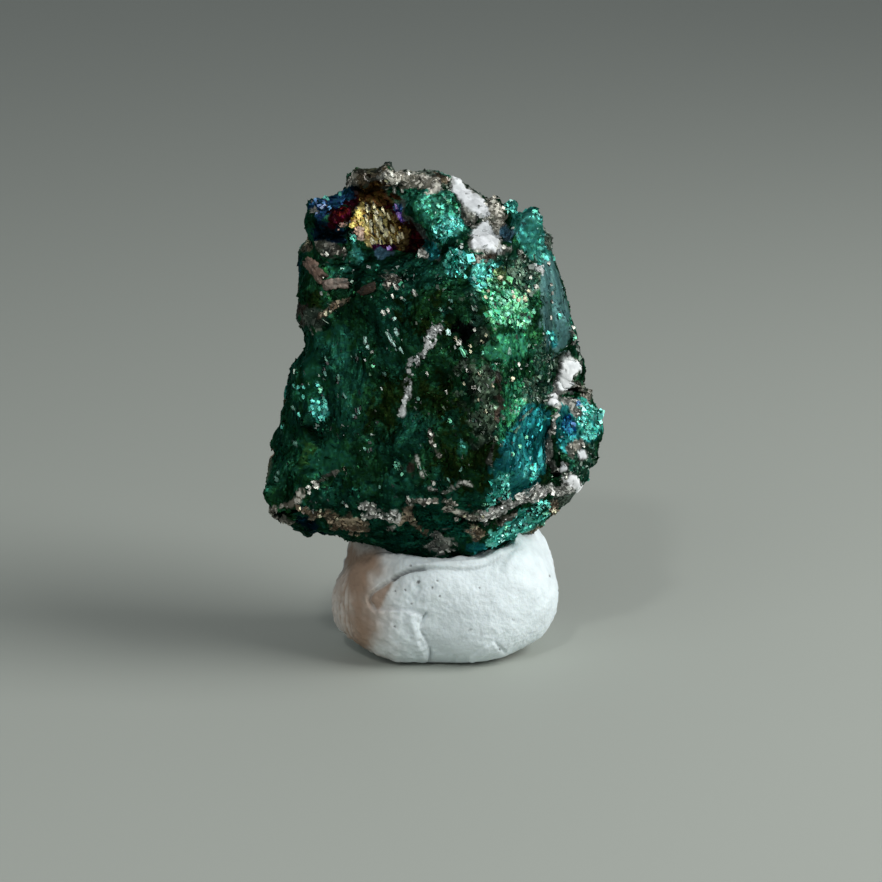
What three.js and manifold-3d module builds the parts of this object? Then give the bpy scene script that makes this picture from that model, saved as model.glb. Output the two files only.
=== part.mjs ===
// A chunk of peacock ore: broken, tarnished copper ore with quartz in it, stood upright in a blob of display
// tack.
//
// Millimetres, +Z up, front towards -Y. The origin is the middle of the tack's flat underside.
// The ore is one solid. It is shaped in its own frame, across (x), back (y) and up (z) from its middle, and
// leans back in the tack. The tack is a second solid, with the ore's print pressed into its top.
// Each shape is a field: negative inside, positive outside and about the distance to the surface near it.
import * as THREE from "three";
import { mergeVertices } from "three/addons/utils/BufferGeometryUtils.js";
import Module from "manifold-3d";

const wasm = await Module();
wasm.setup();

// ---- Driving dimensions ----

const ORE_MIDDLE = new THREE.Vector3(-1.1, 0, 21.7); // in the part's frame
const ORE_LEAN = THREE.MathUtils.degToRad(15); // the rim's plane leans back by this from upright
const ORE_FRONT_DEPTH = 11.4; // from the rim to the front, before the fracture faces cut into it
const ORE_BACK_DEPTH = 10.6;
const ORE_SEAT_HEIGHT = 8.0; // the small flat spot under the ore, above the surface that the tack stands on
const BODY_SQUARENESS = 3.2; // 2 is an ellipsoid, more is a block
const RIM_RUN_BACK = { across: 0.15, up: -0.05 }; // how far the rim runs back, per mm across and per mm up
const EDGE_ROUNDING = 0.4; // where two fracture faces meet
const LUMP_FILLET = 1.0; // where a lump grows out of the body
const PIT_FILLET = 0.5; // at a pit's brim

const TACK_MIDDLE = new THREE.Vector3(0, 0.2, 4.4);
const TACK_RADII = new THREE.Vector3(8.4, 6.9, 5.3); // of the squashed ball, before it is cut flat below
const TACK_SQUARENESS = 2.5;
const TACK_RIGHT_TAPER = 0.02; // the right half gets this much slimmer with each mm below the middle
const TACK_KNEADING = 0.22; // height of the broad dents and swells that fingers left
const KNEADING_TURNS = { across: 0.75, back: 0.6, up: 0.5 }; // radians per mm along each direction
const KNEADING_STARTS = { across: 2.2, back: 0.9, up: 0.6 };
const TACK_GAP = 0.33; // between the ore and its print in the tack

const ORE_CELL = 0.92; // spacing of the grid that each solid's faces are taken from
const TACK_CELL = 1.0;
const ORE_GRID = { low: [-15.3, -13.1, 5.9], high: [13.9, 13.3, 38.0] }; // two corners of the grid
const TACK_GRID = { low: [-9.7, -8.3, -2.4], high: [9.7, 8.5, 11.2] };

// The rim: the chunk's widest outline, [across, up] from its middle, clockwise from the upper left.
const RIM = [
  [-9.3, 11.3], // blue knob
  [-8.4, 12.6],
  [-6.4, 13.3],
  [-6.2, 14.3], // crusted top
  [-4.2, 14.5],
  [-3.0, 15.0],
  [-1.4, 14.8],
  [1.2, 14.0],
  [2.6, 13.6],
  [4.3, 12.2], // notch beside the quartz
  [5.8, 12.3],
  [7.6, 11.6], // shoulder
  [8.5, 10.6],
  [9.4, 7.9],
  [10.4, 4.0],
  [11.2, 1.4],
  [11.3, 0.1],
  [10.9, -0.9], // crevice
  [12.0, -2.3],
  [13.0, -4.2], // right knob
  [12.8, -5.8],
  [11.7, -8.2],
  [10.9, -9.7],
  [8.4, -11.9],
  [5.6, -13.4],
  [2.6, -14.6],
  [-2.5, -14.4],
  [-6.2, -13.4],
  [-8.6, -12.4],
  [-9.2, -12.7],
  [-11.6, -11.1], // left foot
  [-12.5, -9.1],
  [-11.7, -7.0],
  [-12.0, -5.5],
  [-11.2, -4.2],
  [-10.8, -1.6], // left bulge
  [-10.1, 0.4],
  [-9.2, 1.2],
  [-9.1, 2.4], // notch under the left block
  [-10.0, 3.3],
  [-9.8, 5.4],
  [-9.8, 8.7],
  [-9.1, 9.7],
];

// Fracture faces: outward direction [across, back, up], of any length, and a point that the face goes
// through.
const FACES = {
  front: { out: [-0.25, -0.95, 0.0], through: [4.8, -9.0, -1.0] },
  right: { out: [0.72, -0.62, 0.12], through: [4.8, -9.0, -1.0] },
  brow: { out: [0.36, -0.66, 0.62], through: [4.0, -9.0, 3.6] },
  leftBrow: { out: [-0.1, -0.8, 0.58], through: [-4.0, -6.8, 5.4] },
  crown: { out: [0.05, -0.45, 0.9], through: [-2.0, -1.8, 15.0] },
  foot: { out: [-0.06, -0.52, -0.85], through: [-2.0, -7.2, -10.1] },
  rightFoot: { out: [0.5, -0.5, -0.7], through: [6.4, -6.3, -9.3] },
  leftSide: { out: [-0.9, -0.4, 0.12], through: [-9.4, -4.2, 0.0] },
  backLeft: { out: [-0.55, 0.82, 0.12], through: [-4.5, 8.2, 0.0] },
  backRight: { out: [0.42, 0.88, -0.18], through: [4.5, 8.4, -1.0] },
  backTop: { out: [0.12, 0.62, 0.78], through: [0.5, 5.4, 9.6] },
  backFoot: { out: [-0.15, 0.62, -0.77], through: [0.0, 6.2, -9.4] },
};

// Blocky lumps that stand out of the faces, and angular pits broken into them: middle and half sizes,
// [across, back, up], and how they are turned about those three directions, in degrees.
const LUMPS = {
  blueKnob: { at: [-7.2, -3.0, 10.4], half: [1.5, 1.7, 1.1], turn: [20, -18, 30] },
  tealLump: { at: [0.2, -3.0, 11.1], half: [1.8, 2.2, 2.0], turn: [-22, 44, 8] },
  topCrust: { at: [-2.4, -1.4, 13.0], half: [3.7, 2.0, 1.0], turn: [-12, 2, 6] },
  shoulderLump: { at: [6.3, -2.4, 8.8], half: [1.3, 1.9, 2.3], turn: [8, 20, 22] },
  browLump: { at: [3.0, -5.2, 7.4], half: [1.9, 1.6, 1.5], turn: [-42, 16, 20] },
  rightKnob: { at: [10.0, -0.8, -5.4], half: [1.9, 2.5, 2.6], turn: [0, 8, 20] },
  leftBlock: { at: [-7.6, -3.4, 5.4], half: [1.3, 2.4, 2.0], turn: [10, 6, -18] },
  leftBulge: { at: [-8.2, -3.8, -2.4], half: [1.5, 2.4, 2.4], turn: [0, 14, -24] },
  leftFoot: { at: [-9.8, -3.0, -8.9], half: [1.9, 2.4, 1.9], turn: [15, 32, -16] },
  backLump: { at: [-3.2, 6.2, 5.4], half: [2.8, 2.2, 3.2], turn: [15, 20, 10] },
  backShelf: { at: [3.4, 6.4, -4.8], half: [4.0, 2.2, 1.8], turn: [0, 15, -10] },
  backLeftKnob: { at: [-8.0, 3.4, -6.0], half: [2.2, 2.6, 2.4], turn: [30, 10, 20] },
};
const PITS = {
  goldPocket: { at: [-3.5, -5.1, 9.9], half: [2.4, 2.1, 1.6], turn: [-40, 24, -10] },
  knobHollow: { at: [-7.1, -5.0, 8.9], half: [1.1, 1.8, 0.9], turn: [-20, 0, -20] },
  browHollow: { at: [1.6, -9.3, 3.6], half: [1.4, 0.9, 1.1], turn: [20, 40, 10] },
  crevice: { at: [10.6, -3.0, -2.0], half: [1.6, 2.6, 0.4], turn: [0, 20, 0] },
  knobGroove: { at: [8.7, -5.4, -5.0], half: [0.25, 1.5, 2.8], turn: [0, -8, 20] },
  frontGroove: { at: [-5.2, -8.0, -1.4], half: [0.6, 1.6, 4.4], turn: [0, 6, 30] },
  leftGroove: { at: [-8.2, -7.2, 1.6], half: [1.4, 1.6, 0.5], turn: [0, 20, 0] },
  footGap: { at: [1.0, -8.6, -12.0], half: [1.8, 1.9, 0.6], turn: [-30, 0, 0] },
  backCleft: { at: [0.6, 9.6, 1.0], half: [0.6, 2.4, 4.6], turn: [0, -14, 10] },
  backScoop: { at: [-6.4, 8.8, -1.4], half: [2.2, 2.2, 1.8], turn: [30, 20, 10] },
  backTopPit: { at: [3.6, 6.6, 8.8], half: [1.7, 1.7, 1.4], turn: [40, 10, 20] },
};

// Flat-sided grains all over the ore, coarse to fine: a grain's size and how far it stands out.
const GRAINS = [
  { size: 3.4, height: 1.1 },
  { size: 1.8, height: 0.6 },
];
const GRAIN_STRETCH = 1.3; // the grains are this much longer upwards
const GRAIN_MIDDLE = 0.28; // the share of a grain's height that lies outside the surface it stands on
const GRAIN_REACH = 1.2; // further than this from the surface the grains make no difference

// How the meshes are made from the fields.
const BISECTIONS = 9; // halvings of a grid edge to find where the surface crosses it
const PULLS = 12; // moves that bring a mesh corner onto the flat faces that meet there
const CORNER_MARGIN = 0.04; // a mesh corner keeps this share of its grid cell away from the cell's sides
const SLOPE_STEP = 0.02; // distance over which a field's slope is taken
const CUTTING_BLOCK = 60; // size of the block that a shape's flat underside is cut with

// ---- Small helpers ----

// A number from 0 to 1 that depends only on three whole numbers and a channel.
function hash(i, j, k, channel) {
  let h = Math.imul(i, 374761393) ^ Math.imul(j, 668265263) ^ Math.imul(k, 987643211);
  h ^= Math.imul(channel, 974711);
  h = Math.imul(h ^ (h >>> 13), 1274126177);
  h = Math.imul(h ^ (h >>> 16), 2146121005);
  return ((h ^ (h >>> 15)) >>> 0) / 4294967296;
}

function softMax(a, b, radius) {
  const blend = Math.max(radius - Math.abs(a - b), 0) / radius;
  return Math.max(a, b) + (blend * blend * radius) / 4;
}

const softMin = (a, b, radius) => -softMax(-a, -b, radius);

function blockField(p, { at, half, turn }) {
  const q = p.clone().sub(at).applyMatrix3(turn);
  const [x, y, z] = [Math.abs(q.x) - half.x, Math.abs(q.y) - half.y, Math.abs(q.z) - half.z];
  return Math.hypot(Math.max(x, 0), Math.max(y, 0), Math.max(z, 0)) + Math.min(Math.max(x, y, z), 0);
}

// How far the nearest of many scattered cubes is, in cube spacings. Each cube is turned its own way, so that
// the field is made of flat pieces.
const TURNS = Array.from({ length: 64 }, (_, n) => {
  const angles = [1, 2, 3].map((axis) => hash(n, axis, 7, 5) * Math.PI * 2);
  return new THREE.Matrix4().makeRotationFromEuler(new THREE.Euler(...angles)).elements;
});

function nearestCube(p, spacing) {
  const [x, y, z] = [p.x / spacing, p.y / spacing, p.z / spacing];
  const [ci, cj, ck] = [Math.floor(x), Math.floor(y), Math.floor(z)];
  let nearest = Infinity;
  for (let i = ci - 1; i <= ci + 1; i++)
    for (let j = cj - 1; j <= cj + 1; j++)
      for (let k = ck - 1; k <= ck + 1; k++) {
        const turn = TURNS[Math.floor(hash(i, j, k, 4) * TURNS.length)];
        const dx = i + hash(i, j, k, 1) - x;
        const dy = j + hash(i, j, k, 2) - y;
        const dz = k + hash(i, j, k, 3) - z;
        const u = Math.abs(turn[0] * dx + turn[4] * dy + turn[8] * dz);
        const v = Math.abs(turn[1] * dx + turn[5] * dy + turn[9] * dz);
        const w = Math.abs(turn[2] * dx + turn[6] * dy + turn[10] * dz);
        nearest = Math.min(nearest, Math.max(u, v, w));
      }
  return nearest;
}

// ---- The ore ----

// How far the rim lies from the middle in a direction, where the ray crosses the rim's outline.
function rimReach(across, up) {
  const length = Math.hypot(across, up) || 1;
  const [dx, dz] = [across / length, up / length];
  let reach = 1;
  for (let n = 0; n < RIM.length; n++) {
    const [x1, z1] = RIM[n];
    const [x2, z2] = RIM[(n + 1) % RIM.length];
    const crossing = dx * (z2 - z1) - dz * (x2 - x1);
    const along = (x1 * (z2 - z1) - z1 * (x2 - x1)) / crossing;
    const share = (x1 * dz - z1 * dx) / crossing;
    if (along > 0 && share >= 0 && share <= 1) reach = Math.max(reach, along);
  }
  return reach;
}

const vector = (values) => new THREE.Vector3(...values);
const faces = Object.values(FACES).map(({ out, through }) => ({
  out: vector(out).normalize(),
  through: vector(through),
}));

// A block's measures as vectors, and the turn from the ore's frame into the block's own.
function blockOf({ at, half, turn }) {
  const angles = turn.map(THREE.MathUtils.degToRad);
  const placed = new THREE.Matrix4().makeRotationFromEuler(new THREE.Euler(...angles));
  return { at: vector(at), half: vector(half), turn: new THREE.Matrix3().setFromMatrix4(placed).transpose() };
}
const lumps = Object.values(LUMPS).map(blockOf);
const pits = Object.values(PITS).map(blockOf);

function oreBody(p) {
  const back = p.y - RIM_RUN_BACK.across * p.x - RIM_RUN_BACK.up * p.z;
  const spread = Math.hypot(p.x, p.z) / rimReach(p.x, p.z);
  const depth = Math.abs(back) / (back < 0 ? ORE_FRONT_DEPTH : ORE_BACK_DEPTH);
  const share = (spread ** BODY_SQUARENESS + depth ** BODY_SQUARENESS) ** (1 / BODY_SQUARENESS);
  return (share - 1) * ORE_BACK_DEPTH;
}

const TIP = new THREE.Vector3(1, 0, 0);
const own = new THREE.Vector3();

function oreField(point) {
  const p = own.copy(point).sub(ORE_MIDDLE).applyAxisAngle(TIP, ORE_LEAN);
  let field = oreBody(p);
  for (const { out, through } of faces) field = softMax(field, out.dot(p) - out.dot(through), EDGE_ROUNDING);
  for (const lump of lumps) field = softMin(field, blockField(p, lump), LUMP_FILLET);
  for (const pit of pits) field = softMax(field, -blockField(p, pit), PIT_FILLET);
  if (Math.abs(field) > GRAIN_REACH) return field;
  p.z /= GRAIN_STRETCH;
  for (const { size, height } of GRAINS) field += height * (nearestCube(p, size) - GRAIN_MIDDLE);
  return field;
}

// ---- The tack ----

function kneadingSwell(p) {
  const across = Math.sin(KNEADING_TURNS.across * p.x + KNEADING_STARTS.across);
  const back = Math.cos(KNEADING_TURNS.back * p.y + KNEADING_STARTS.back);
  const up = Math.sin(KNEADING_TURNS.up * p.z + KNEADING_STARTS.up);
  return TACK_KNEADING * across * back * up;
}

function tackBall(p) {
  const share = ["x", "y", "z"].map((axis) => Math.abs((p[axis] - TACK_MIDDLE[axis]) / TACK_RADII[axis]));
  if (p.x > TACK_MIDDLE.x) share[0] *= 1 + TACK_RIGHT_TAPER * Math.max(TACK_MIDDLE.z - p.z, 0);
  const power = share.reduce((sum, part) => sum + part ** TACK_SQUARENESS, 0);
  return (power ** (1 / TACK_SQUARENESS) - 1) * TACK_RADII.z - kneadingSwell(p);
}

function tackField(p) {
  const ball = tackBall(p);
  if (Math.abs(ball) > TACK_CELL * 3 && p.z < ORE_SEAT_HEIGHT - 2) return ball;
  return Math.max(ball, TACK_GAP - Math.max(oreField(p), ORE_SEAT_HEIGHT - p.z));
}

// ---- Meshes ----

const CUBE_CORNERS = [0, 1, 2, 3, 4, 5, 6, 7].map((n) => [n & 1, (n >> 1) & 1, n >> 2]);
const edgesFrom = (n) => [1, 2, 4].filter((bit) => !(n & bit)).map((bit) => [n, n | bit]);
const CUBE_EDGES = CUBE_CORNERS.flatMap((_, n) => edgesFrom(n));
const edgeBetween = (a, b) => CUBE_EDGES.findIndex(([p, q]) => p === Math.min(a, b) && q === Math.max(a, b));
const CUBE_FACES = [
  [0, 1, 3, 2],
  [4, 5, 7, 6],
  [0, 1, 5, 4],
  [2, 3, 7, 6],
  [0, 2, 6, 4],
  [1, 3, 7, 5],
].map((corners) => {
  const edges = corners.map((corner, n) => edgeBetween(corner, corners[(n + 1) % 4]));
  return { corners, edges };
});

function slopeOf(field, p) {
  const probe = new THREE.Vector3();
  const slope = ["x", "y", "z"].map((axis) => {
    probe.copy(p)[axis] += SLOPE_STEP;
    const ahead = field(probe);
    probe.copy(p)[axis] -= SLOPE_STEP;
    return ahead - field(probe);
  });
  return new THREE.Vector3(...slope).normalize();
}

// Groups the crossed edges of one grid cell: each group is one sheet of the surface passing through the cell.
function sheetsOf(inside) {
  const group = CUBE_EDGES.map((_, n) => n);
  const crossed = CUBE_EDGES.map(([a, b]) => inside[a] !== inside[b]);
  const join = (a, b) => {
    const [from, to] = [group[a], group[b]];
    group.forEach((label, n) => {
      if (label === from) group[n] = to;
    });
  };
  for (const { corners, edges } of CUBE_FACES) {
    const cut = edges.filter((edge) => crossed[edge]);
    if (cut.length === 2) join(...cut);
    if (cut.length === 4)
      corners.forEach((corner, n) => {
        if (inside[corner]) join(edges[n], edges[(n + 3) % 4]);
      });
  }
  const sheets = {};
  group.forEach((label, edge) => {
    if (crossed[edge]) (sheets[label] ??= []).push(edge);
  });
  return Object.values(sheets);
}

// A closed mesh where the field is zero, from a grid over a box: a corner for each sheet in each grid cell,
// and four-sided faces around each crossed grid edge.
function meshOf(field, grid, cell) {
  const [low, high] = [vector(grid.low), vector(grid.high)];
  const counts = ["x", "y", "z"].map((axis) => Math.ceil((high[axis] - low[axis]) / cell) + 1);
  const strides = [1, counts[0], counts[0] * counts[1]];
  const pointAt = (i, j, k) => new THREE.Vector3(i, j, k).multiplyScalar(cell).add(low);
  const indexOf = (i, j, k) => i + j * strides[1] + k * strides[2];
  const values = new Float32Array(counts[0] * counts[1] * counts[2]);
  for (let k = 0; k < counts[2]; k++)
    for (let j = 0; j < counts[1]; j++)
      for (let i = 0; i < counts[0]; i++) values[indexOf(i, j, k)] = field(pointAt(i, j, k));

  // Where the surface crosses a grid edge, and which way it faces there.
  const crossings = new Map();
  function crossingOf(start, axis, from) {
    const key = start * 3 + axis;
    if (!crossings.has(key)) {
      const insideFirst = values[start] < 0;
      const point = from.clone();
      let [near, far] = [0, cell];
      for (let turn = 0; turn < BISECTIONS; turn++) {
        const middle = (near + far) / 2;
        point.copy(from).setComponent(axis, from.getComponent(axis) + middle);
        if (field(point) < 0 === insideFirst) near = middle;
        else far = middle;
      }
      crossings.set(key, { point, out: slopeOf(field, point) });
    }
    return crossings.get(key);
  }

  const positions = [];
  const cornerOf = new Map(); // from a cell's edge to the mesh corner on its sheet
  for (let k = 0; k < counts[2] - 1; k++)
    for (let j = 0; j < counts[1] - 1; j++)
      for (let i = 0; i < counts[0] - 1; i++) {
        const inside = CUBE_CORNERS.map(([a, b, c]) => values[indexOf(i + a, j + b, k + c)] < 0);
        if (inside.every(Boolean) || !inside.some(Boolean)) continue;
        const sheets = sheetsOf(inside);
        for (const sheet of sheets) {
          const cuts = sheet.map((edge) => {
            const [a, b] = CUBE_EDGES[edge];
            const [di, dj, dk] = CUBE_CORNERS[a];
            const axis = Math.log2(b - a);
            return crossingOf(indexOf(i + di, j + dj, k + dk), axis, pointAt(i + di, j + dj, k + dk));
          });
          const corner = new THREE.Vector3();
          cuts.forEach(({ point }) => corner.addScaledVector(point, 1 / cuts.length));
          // Moves onto the flat faces that meet here, so that an edge between two of them stays sharp.
          for (let turn = 0; turn < PULLS && sheets.length === 1; turn++) {
            const pull = new THREE.Vector3();
            for (const { point, out } of cuts)
              pull.addScaledVector(out, (out.dot(point) - out.dot(corner)) / cuts.length);
            corner.add(pull);
          }
          const [least, most] = [CORNER_MARGIN, 1 - CORNER_MARGIN];
          corner.clamp(pointAt(i + least, j + least, k + least), pointAt(i + most, j + most, k + most));
          for (const edge of sheet) cornerOf.set(indexOf(i, j, k) * 12 + edge, positions.length / 3);
          positions.push(...corner);
        }
      }

  const triangles = [];
  const distance = (a, b) =>
    Math.hypot(...[0, 1, 2].map((axis) => positions[a * 3 + axis] - positions[b * 3 + axis]));
  for (const key of crossings.keys()) {
    const axis = key % 3;
    const start = (key - axis) / 3;
    const [u, v] = [(axis + 1) % 3, (axis + 2) % 3];
    const around = [
      [1, 1],
      [0, 1],
      [0, 0],
      [1, 0],
    ].map(([du, dv]) => {
      const a = (du << u) | (dv << v);
      const edge = edgeBetween(a, a | (1 << axis));
      return cornerOf.get((start - du * strides[u] - dv * strides[v]) * 12 + edge);
    });
    if (values[start] >= 0) around.reverse();
    const [a, b, c, d] = around;
    if (distance(a, c) < distance(b, d)) triangles.push(a, b, c, a, c, d);
    else triangles.push(a, b, d, b, c, d);
  }
  const geometry = new THREE.BufferGeometry();
  geometry.setAttribute("position", new THREE.Float32BufferAttribute(positions, 3));
  geometry.setIndex(largestPiece(triangles));
  return mergeVertices(geometry, 0);
}

// Leaves out crumbs: the triangles that aren't joined to the piece with the most triangles.
function largestPiece(triangles) {
  const parent = [];
  const rootOf = (corner) => {
    while ((parent[corner] ?? corner) !== corner) corner = parent[corner];
    return corner;
  };
  for (let n = 0; n < triangles.length; n += 3)
    for (const other of [triangles[n + 1], triangles[n + 2]]) parent[rootOf(other)] = rootOf(triangles[n]);
  const sizes = {};
  const roots = triangles.map(rootOf);
  for (const root of roots) sizes[root] = (sizes[root] ?? 0) + 1;
  const largest = Number(Object.keys(sizes).reduce((a, b) => (sizes[a] > sizes[b] ? a : b)));
  return triangles.filter((_, n) => roots[n] === largest);
}

function solidOf(geometry) {
  return new wasm.Manifold(
    new wasm.Mesh({
      numProp: 3,
      vertProperties: geometry.attributes.position.array,
      triVerts: new Uint32Array(geometry.index.array),
    }),
  );
}

// The part of a shape above a height, with a flat underside.
function cutFlat(geometry, height) {
  const above = new THREE.BoxGeometry(CUTTING_BLOCK, CUTTING_BLOCK, CUTTING_BLOCK);
  above.deleteAttribute("normal");
  above.deleteAttribute("uv");
  const block = mergeVertices(above).translate(0, 0, height + CUTTING_BLOCK / 2);
  const { vertProperties, triVerts } = solidOf(geometry).intersect(solidOf(block)).getMesh();
  const cut = new THREE.BufferGeometry();
  cut.setAttribute("position", new THREE.BufferAttribute(vertProperties, 3));
  cut.setIndex(new THREE.BufferAttribute(triVerts, 1));
  return cut;
}

function makeOre() {
  const shape = cutFlat(meshOf(oreField, ORE_GRID, ORE_CELL), ORE_SEAT_HEIGHT);
  const tarnish = new THREE.MeshStandardMaterial({ color: 0x0f4a3c, roughness: 0.35, metalness: 0.85 });
  const ore = new THREE.Mesh(shape, tarnish);
  ore.name = "ore";
  return ore;
}

function makeTack() {
  const shape = cutFlat(meshOf(tackField, TACK_GRID, TACK_CELL), 0);
  const putty = new THREE.MeshStandardMaterial({ color: 0xdcdcd8, roughness: 0.85, metalness: 0 });
  const tack = new THREE.Mesh(shape, putty);
  tack.name = "tack";
  return tack;
}

const specimen = new THREE.Group();
specimen.add(makeOre(), makeTack());

export default specimen;
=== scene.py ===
"""The looks of the peacock ore specimen: the glittering, tarnished chunk and the putty that holds it up.

Lengths are millimetres unless a name says otherwise; the frame and Blender's objects are in metres.
"""

import math

import bmesh
import bpy
import numpy as np
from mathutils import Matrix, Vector
from mathutils.bvhtree import BVHTree


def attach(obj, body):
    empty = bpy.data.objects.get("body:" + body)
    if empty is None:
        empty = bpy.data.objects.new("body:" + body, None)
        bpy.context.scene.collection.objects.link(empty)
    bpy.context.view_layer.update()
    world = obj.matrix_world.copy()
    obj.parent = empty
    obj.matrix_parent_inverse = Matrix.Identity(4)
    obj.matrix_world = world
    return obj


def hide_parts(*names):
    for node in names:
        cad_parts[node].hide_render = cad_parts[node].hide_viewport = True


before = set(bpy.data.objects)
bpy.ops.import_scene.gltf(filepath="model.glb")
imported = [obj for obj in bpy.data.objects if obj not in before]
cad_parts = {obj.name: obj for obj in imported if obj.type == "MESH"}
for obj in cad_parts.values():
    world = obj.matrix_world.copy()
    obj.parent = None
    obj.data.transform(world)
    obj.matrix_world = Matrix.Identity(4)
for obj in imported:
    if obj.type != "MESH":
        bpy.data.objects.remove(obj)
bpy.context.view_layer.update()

MM = 0.001  # metres in a millimetre

# ---- The camera, at the photograph's viewing angle ----

PHOTO_SIZE = 882  # pixels, both ways
FOCAL_PIXELS = 2930
CAMERA_TILT = math.radians(15)  # looks down by this much
CAMERA_DISTANCE = 217.0
CAMERA_AIM = np.array([-0.3, 0.0, 15.9])
SENSOR = 36.0

TO_RIGHT = np.array([1.0, 0.0, 0.0])
TO_CAMERA = np.array([0.0, -math.cos(CAMERA_TILT), math.sin(CAMERA_TILT)])
TO_TOP = np.array([0.0, math.sin(CAMERA_TILT), math.cos(CAMERA_TILT)])
EYE = CAMERA_AIM + TO_CAMERA * CAMERA_DISTANCE

PIXELS_PER_MM = FOCAL_PIXELS / CAMERA_DISTANCE

ORE_MIDDLE = np.array([-1.1, 0.0, 21.7])
TACK_MIDDLE = np.array([0.0, 0.2, 4.4])


def photo_pixels(points):
    """Where points in mm show in the photograph."""
    away = points - EYE
    depth = -away @ TO_CAMERA
    x = PHOTO_SIZE / 2 + FOCAL_PIXELS * (away @ TO_RIGHT) / depth
    y = PHOTO_SIZE / 2 - FOCAL_PIXELS * (away @ TO_TOP) / depth
    return np.stack([x, y], -1)


def sight_line(pixel):
    """The direction in which a pixel of the photograph is seen from the camera."""
    x = (pixel[0] - PHOTO_SIZE / 2) / FOCAL_PIXELS
    y = (PHOTO_SIZE / 2 - pixel[1]) / FOCAL_PIXELS
    return TO_RIGHT * x + TO_TOP * y - TO_CAMERA


# ---- Noise, the same on every run ----


def lattice(cells, channel):
    """A number from 0 to 1 for each whole-number cell."""
    i, j, k = (cells[..., axis].astype(np.uint32) for axis in range(3))
    mixed = i * np.uint32(374761393) ^ j * np.uint32(668265263) ^ k * np.uint32(987643211)
    mixed = mixed ^ np.uint32(channel * 974711)
    mixed = (mixed ^ (mixed >> 13)) * np.uint32(1274126177)
    mixed = (mixed ^ (mixed >> 16)) * np.uint32(2146121005)
    return ((mixed ^ (mixed >> 15)) >> 8).astype(float) / 2**24


def smooth_noise(points, size, channel):
    """Rounded noise from -1 to 1, with swells about size across."""
    scaled = points / size
    base = np.floor(scaled).astype(np.int64)
    share = scaled - base
    share = share * share * (3 - 2 * share)
    total = np.zeros(len(points))
    for corner in np.ndindex(2, 2, 2):
        weight = np.where(np.array(corner), share, 1 - share).prod(-1)
        total += weight * lattice(base + corner, channel)
    return total * 2 - 1


def random_turns(count, seed):
    """Turns in space, with every way as likely."""
    turns, upper = np.linalg.qr(np.random.default_rng(seed).normal(size=(count, 3, 3)))
    return turns * np.sign(np.diagonal(upper, axis1=1, axis2=2))[:, None, :]


CUBE_TURNS = random_turns(64, 11)


def grains(points, size, channel):
    """How far the nearest of many scattered, turned cubes is, in cube spacings, and that cube's own number.

    The distances make a field of flat pieces."""
    scaled = points / size
    base = np.floor(scaled).astype(np.int64)
    nearest = np.full(len(points), np.inf)
    own = np.zeros(len(points))
    for step in np.ndindex(3, 3, 3):
        cell = base + np.array(step) - 1
        middle = cell + np.stack([lattice(cell, channel + n) for n in (1, 2, 3)], -1)
        turn = CUBE_TURNS[(lattice(cell, channel + 4) * len(CUBE_TURNS)).astype(int)]
        distance = np.abs(np.einsum("nij,nj->ni", turn, middle - scaled)).max(-1)
        closer = distance < nearest
        nearest[closer] = distance[closer]
        own[closer] = lattice(cell, channel + 5)[closer]
    return nearest, own


def ramp(value, low, high):
    """0 below low, 1 above high, smooth between them; low may be above high."""
    share = np.clip((value - low) / (high - low), 0, 1)
    return share * share * (3 - 2 * share)


# ---- Meshes as arrays ----


class Skin:
    """A triangle mesh as arrays, in mm."""

    def __init__(self, node):
        """A copy of a CAD node's mesh."""
        mesh = bmesh.new()
        mesh.from_mesh(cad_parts[node].data)
        bmesh.ops.remove_doubles(mesh, verts=mesh.verts, dist=1e-6)
        bmesh.ops.triangulate(mesh, faces=mesh.faces)
        self.points = np.array([vertex.co for vertex in mesh.verts]) / MM
        self.triangles = np.array([[vertex.index for vertex in face.verts] for face in mesh.faces])
        mesh.free()

    def edges(self):
        """Each edge's two points, and the edges of each triangle: its first to second point and so on."""
        sides = np.sort(self.triangles[:, [0, 1, 1, 2, 2, 0]].reshape(-1, 2), axis=1)
        keys, which = np.unique(sides[:, 0] * len(self.points) + sides[:, 1], return_inverse=True)
        return np.stack(np.divmod(keys, len(self.points)), -1), which.reshape(-1, 3)

    def halve(self):
        """Cuts each edge in two and each triangle in four."""
        edges, which = self.edges()
        a, b, c = self.triangles.T
        ab, bc, ca = (which + len(self.points)).T
        self.points = np.concatenate([self.points, self.points[edges].mean(1)])
        corners = [(a, ab, ca), (ab, b, bc), (ca, bc, c), (ab, bc, ca)]
        self.triangles = np.concatenate([np.stack(corner, -1) for corner in corners])

    def smooth(self, rounds, share=0.5):
        """Moves each point towards the middle of its neighbours."""
        first, second = self.edges()[0].T
        count = len(self.points)
        around = np.bincount(first, minlength=count) + np.bincount(second, minlength=count)
        for _ in range(rounds):
            total = np.empty_like(self.points)
            for axis, row in enumerate(self.points.T):
                total[:, axis] = np.bincount(first, row[second], count)
                total[:, axis] += np.bincount(second, row[first], count)
            self.points = self.points + share * (total / around[:, None] - self.points)

    def face_normals(self):
        """Each triangle's outward direction, as long as twice its area."""
        a, b, c = (self.points[self.triangles[:, corner]] for corner in range(3))
        return np.cross(b - a, c - a)

    def normals(self):
        """Each point's outward direction, of unit length."""
        total = np.zeros_like(self.points)
        for axis, across in enumerate(self.face_normals().T):
            for corner in self.triangles.T:
                total[:, axis] += np.bincount(corner, across, len(self.points))
        return total / np.linalg.norm(total, axis=1, keepdims=True)

    def tree(self):
        """For casting rays at the skin."""
        return BVHTree.FromPolygons(self.points.tolist(), self.triangles.tolist())


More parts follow.
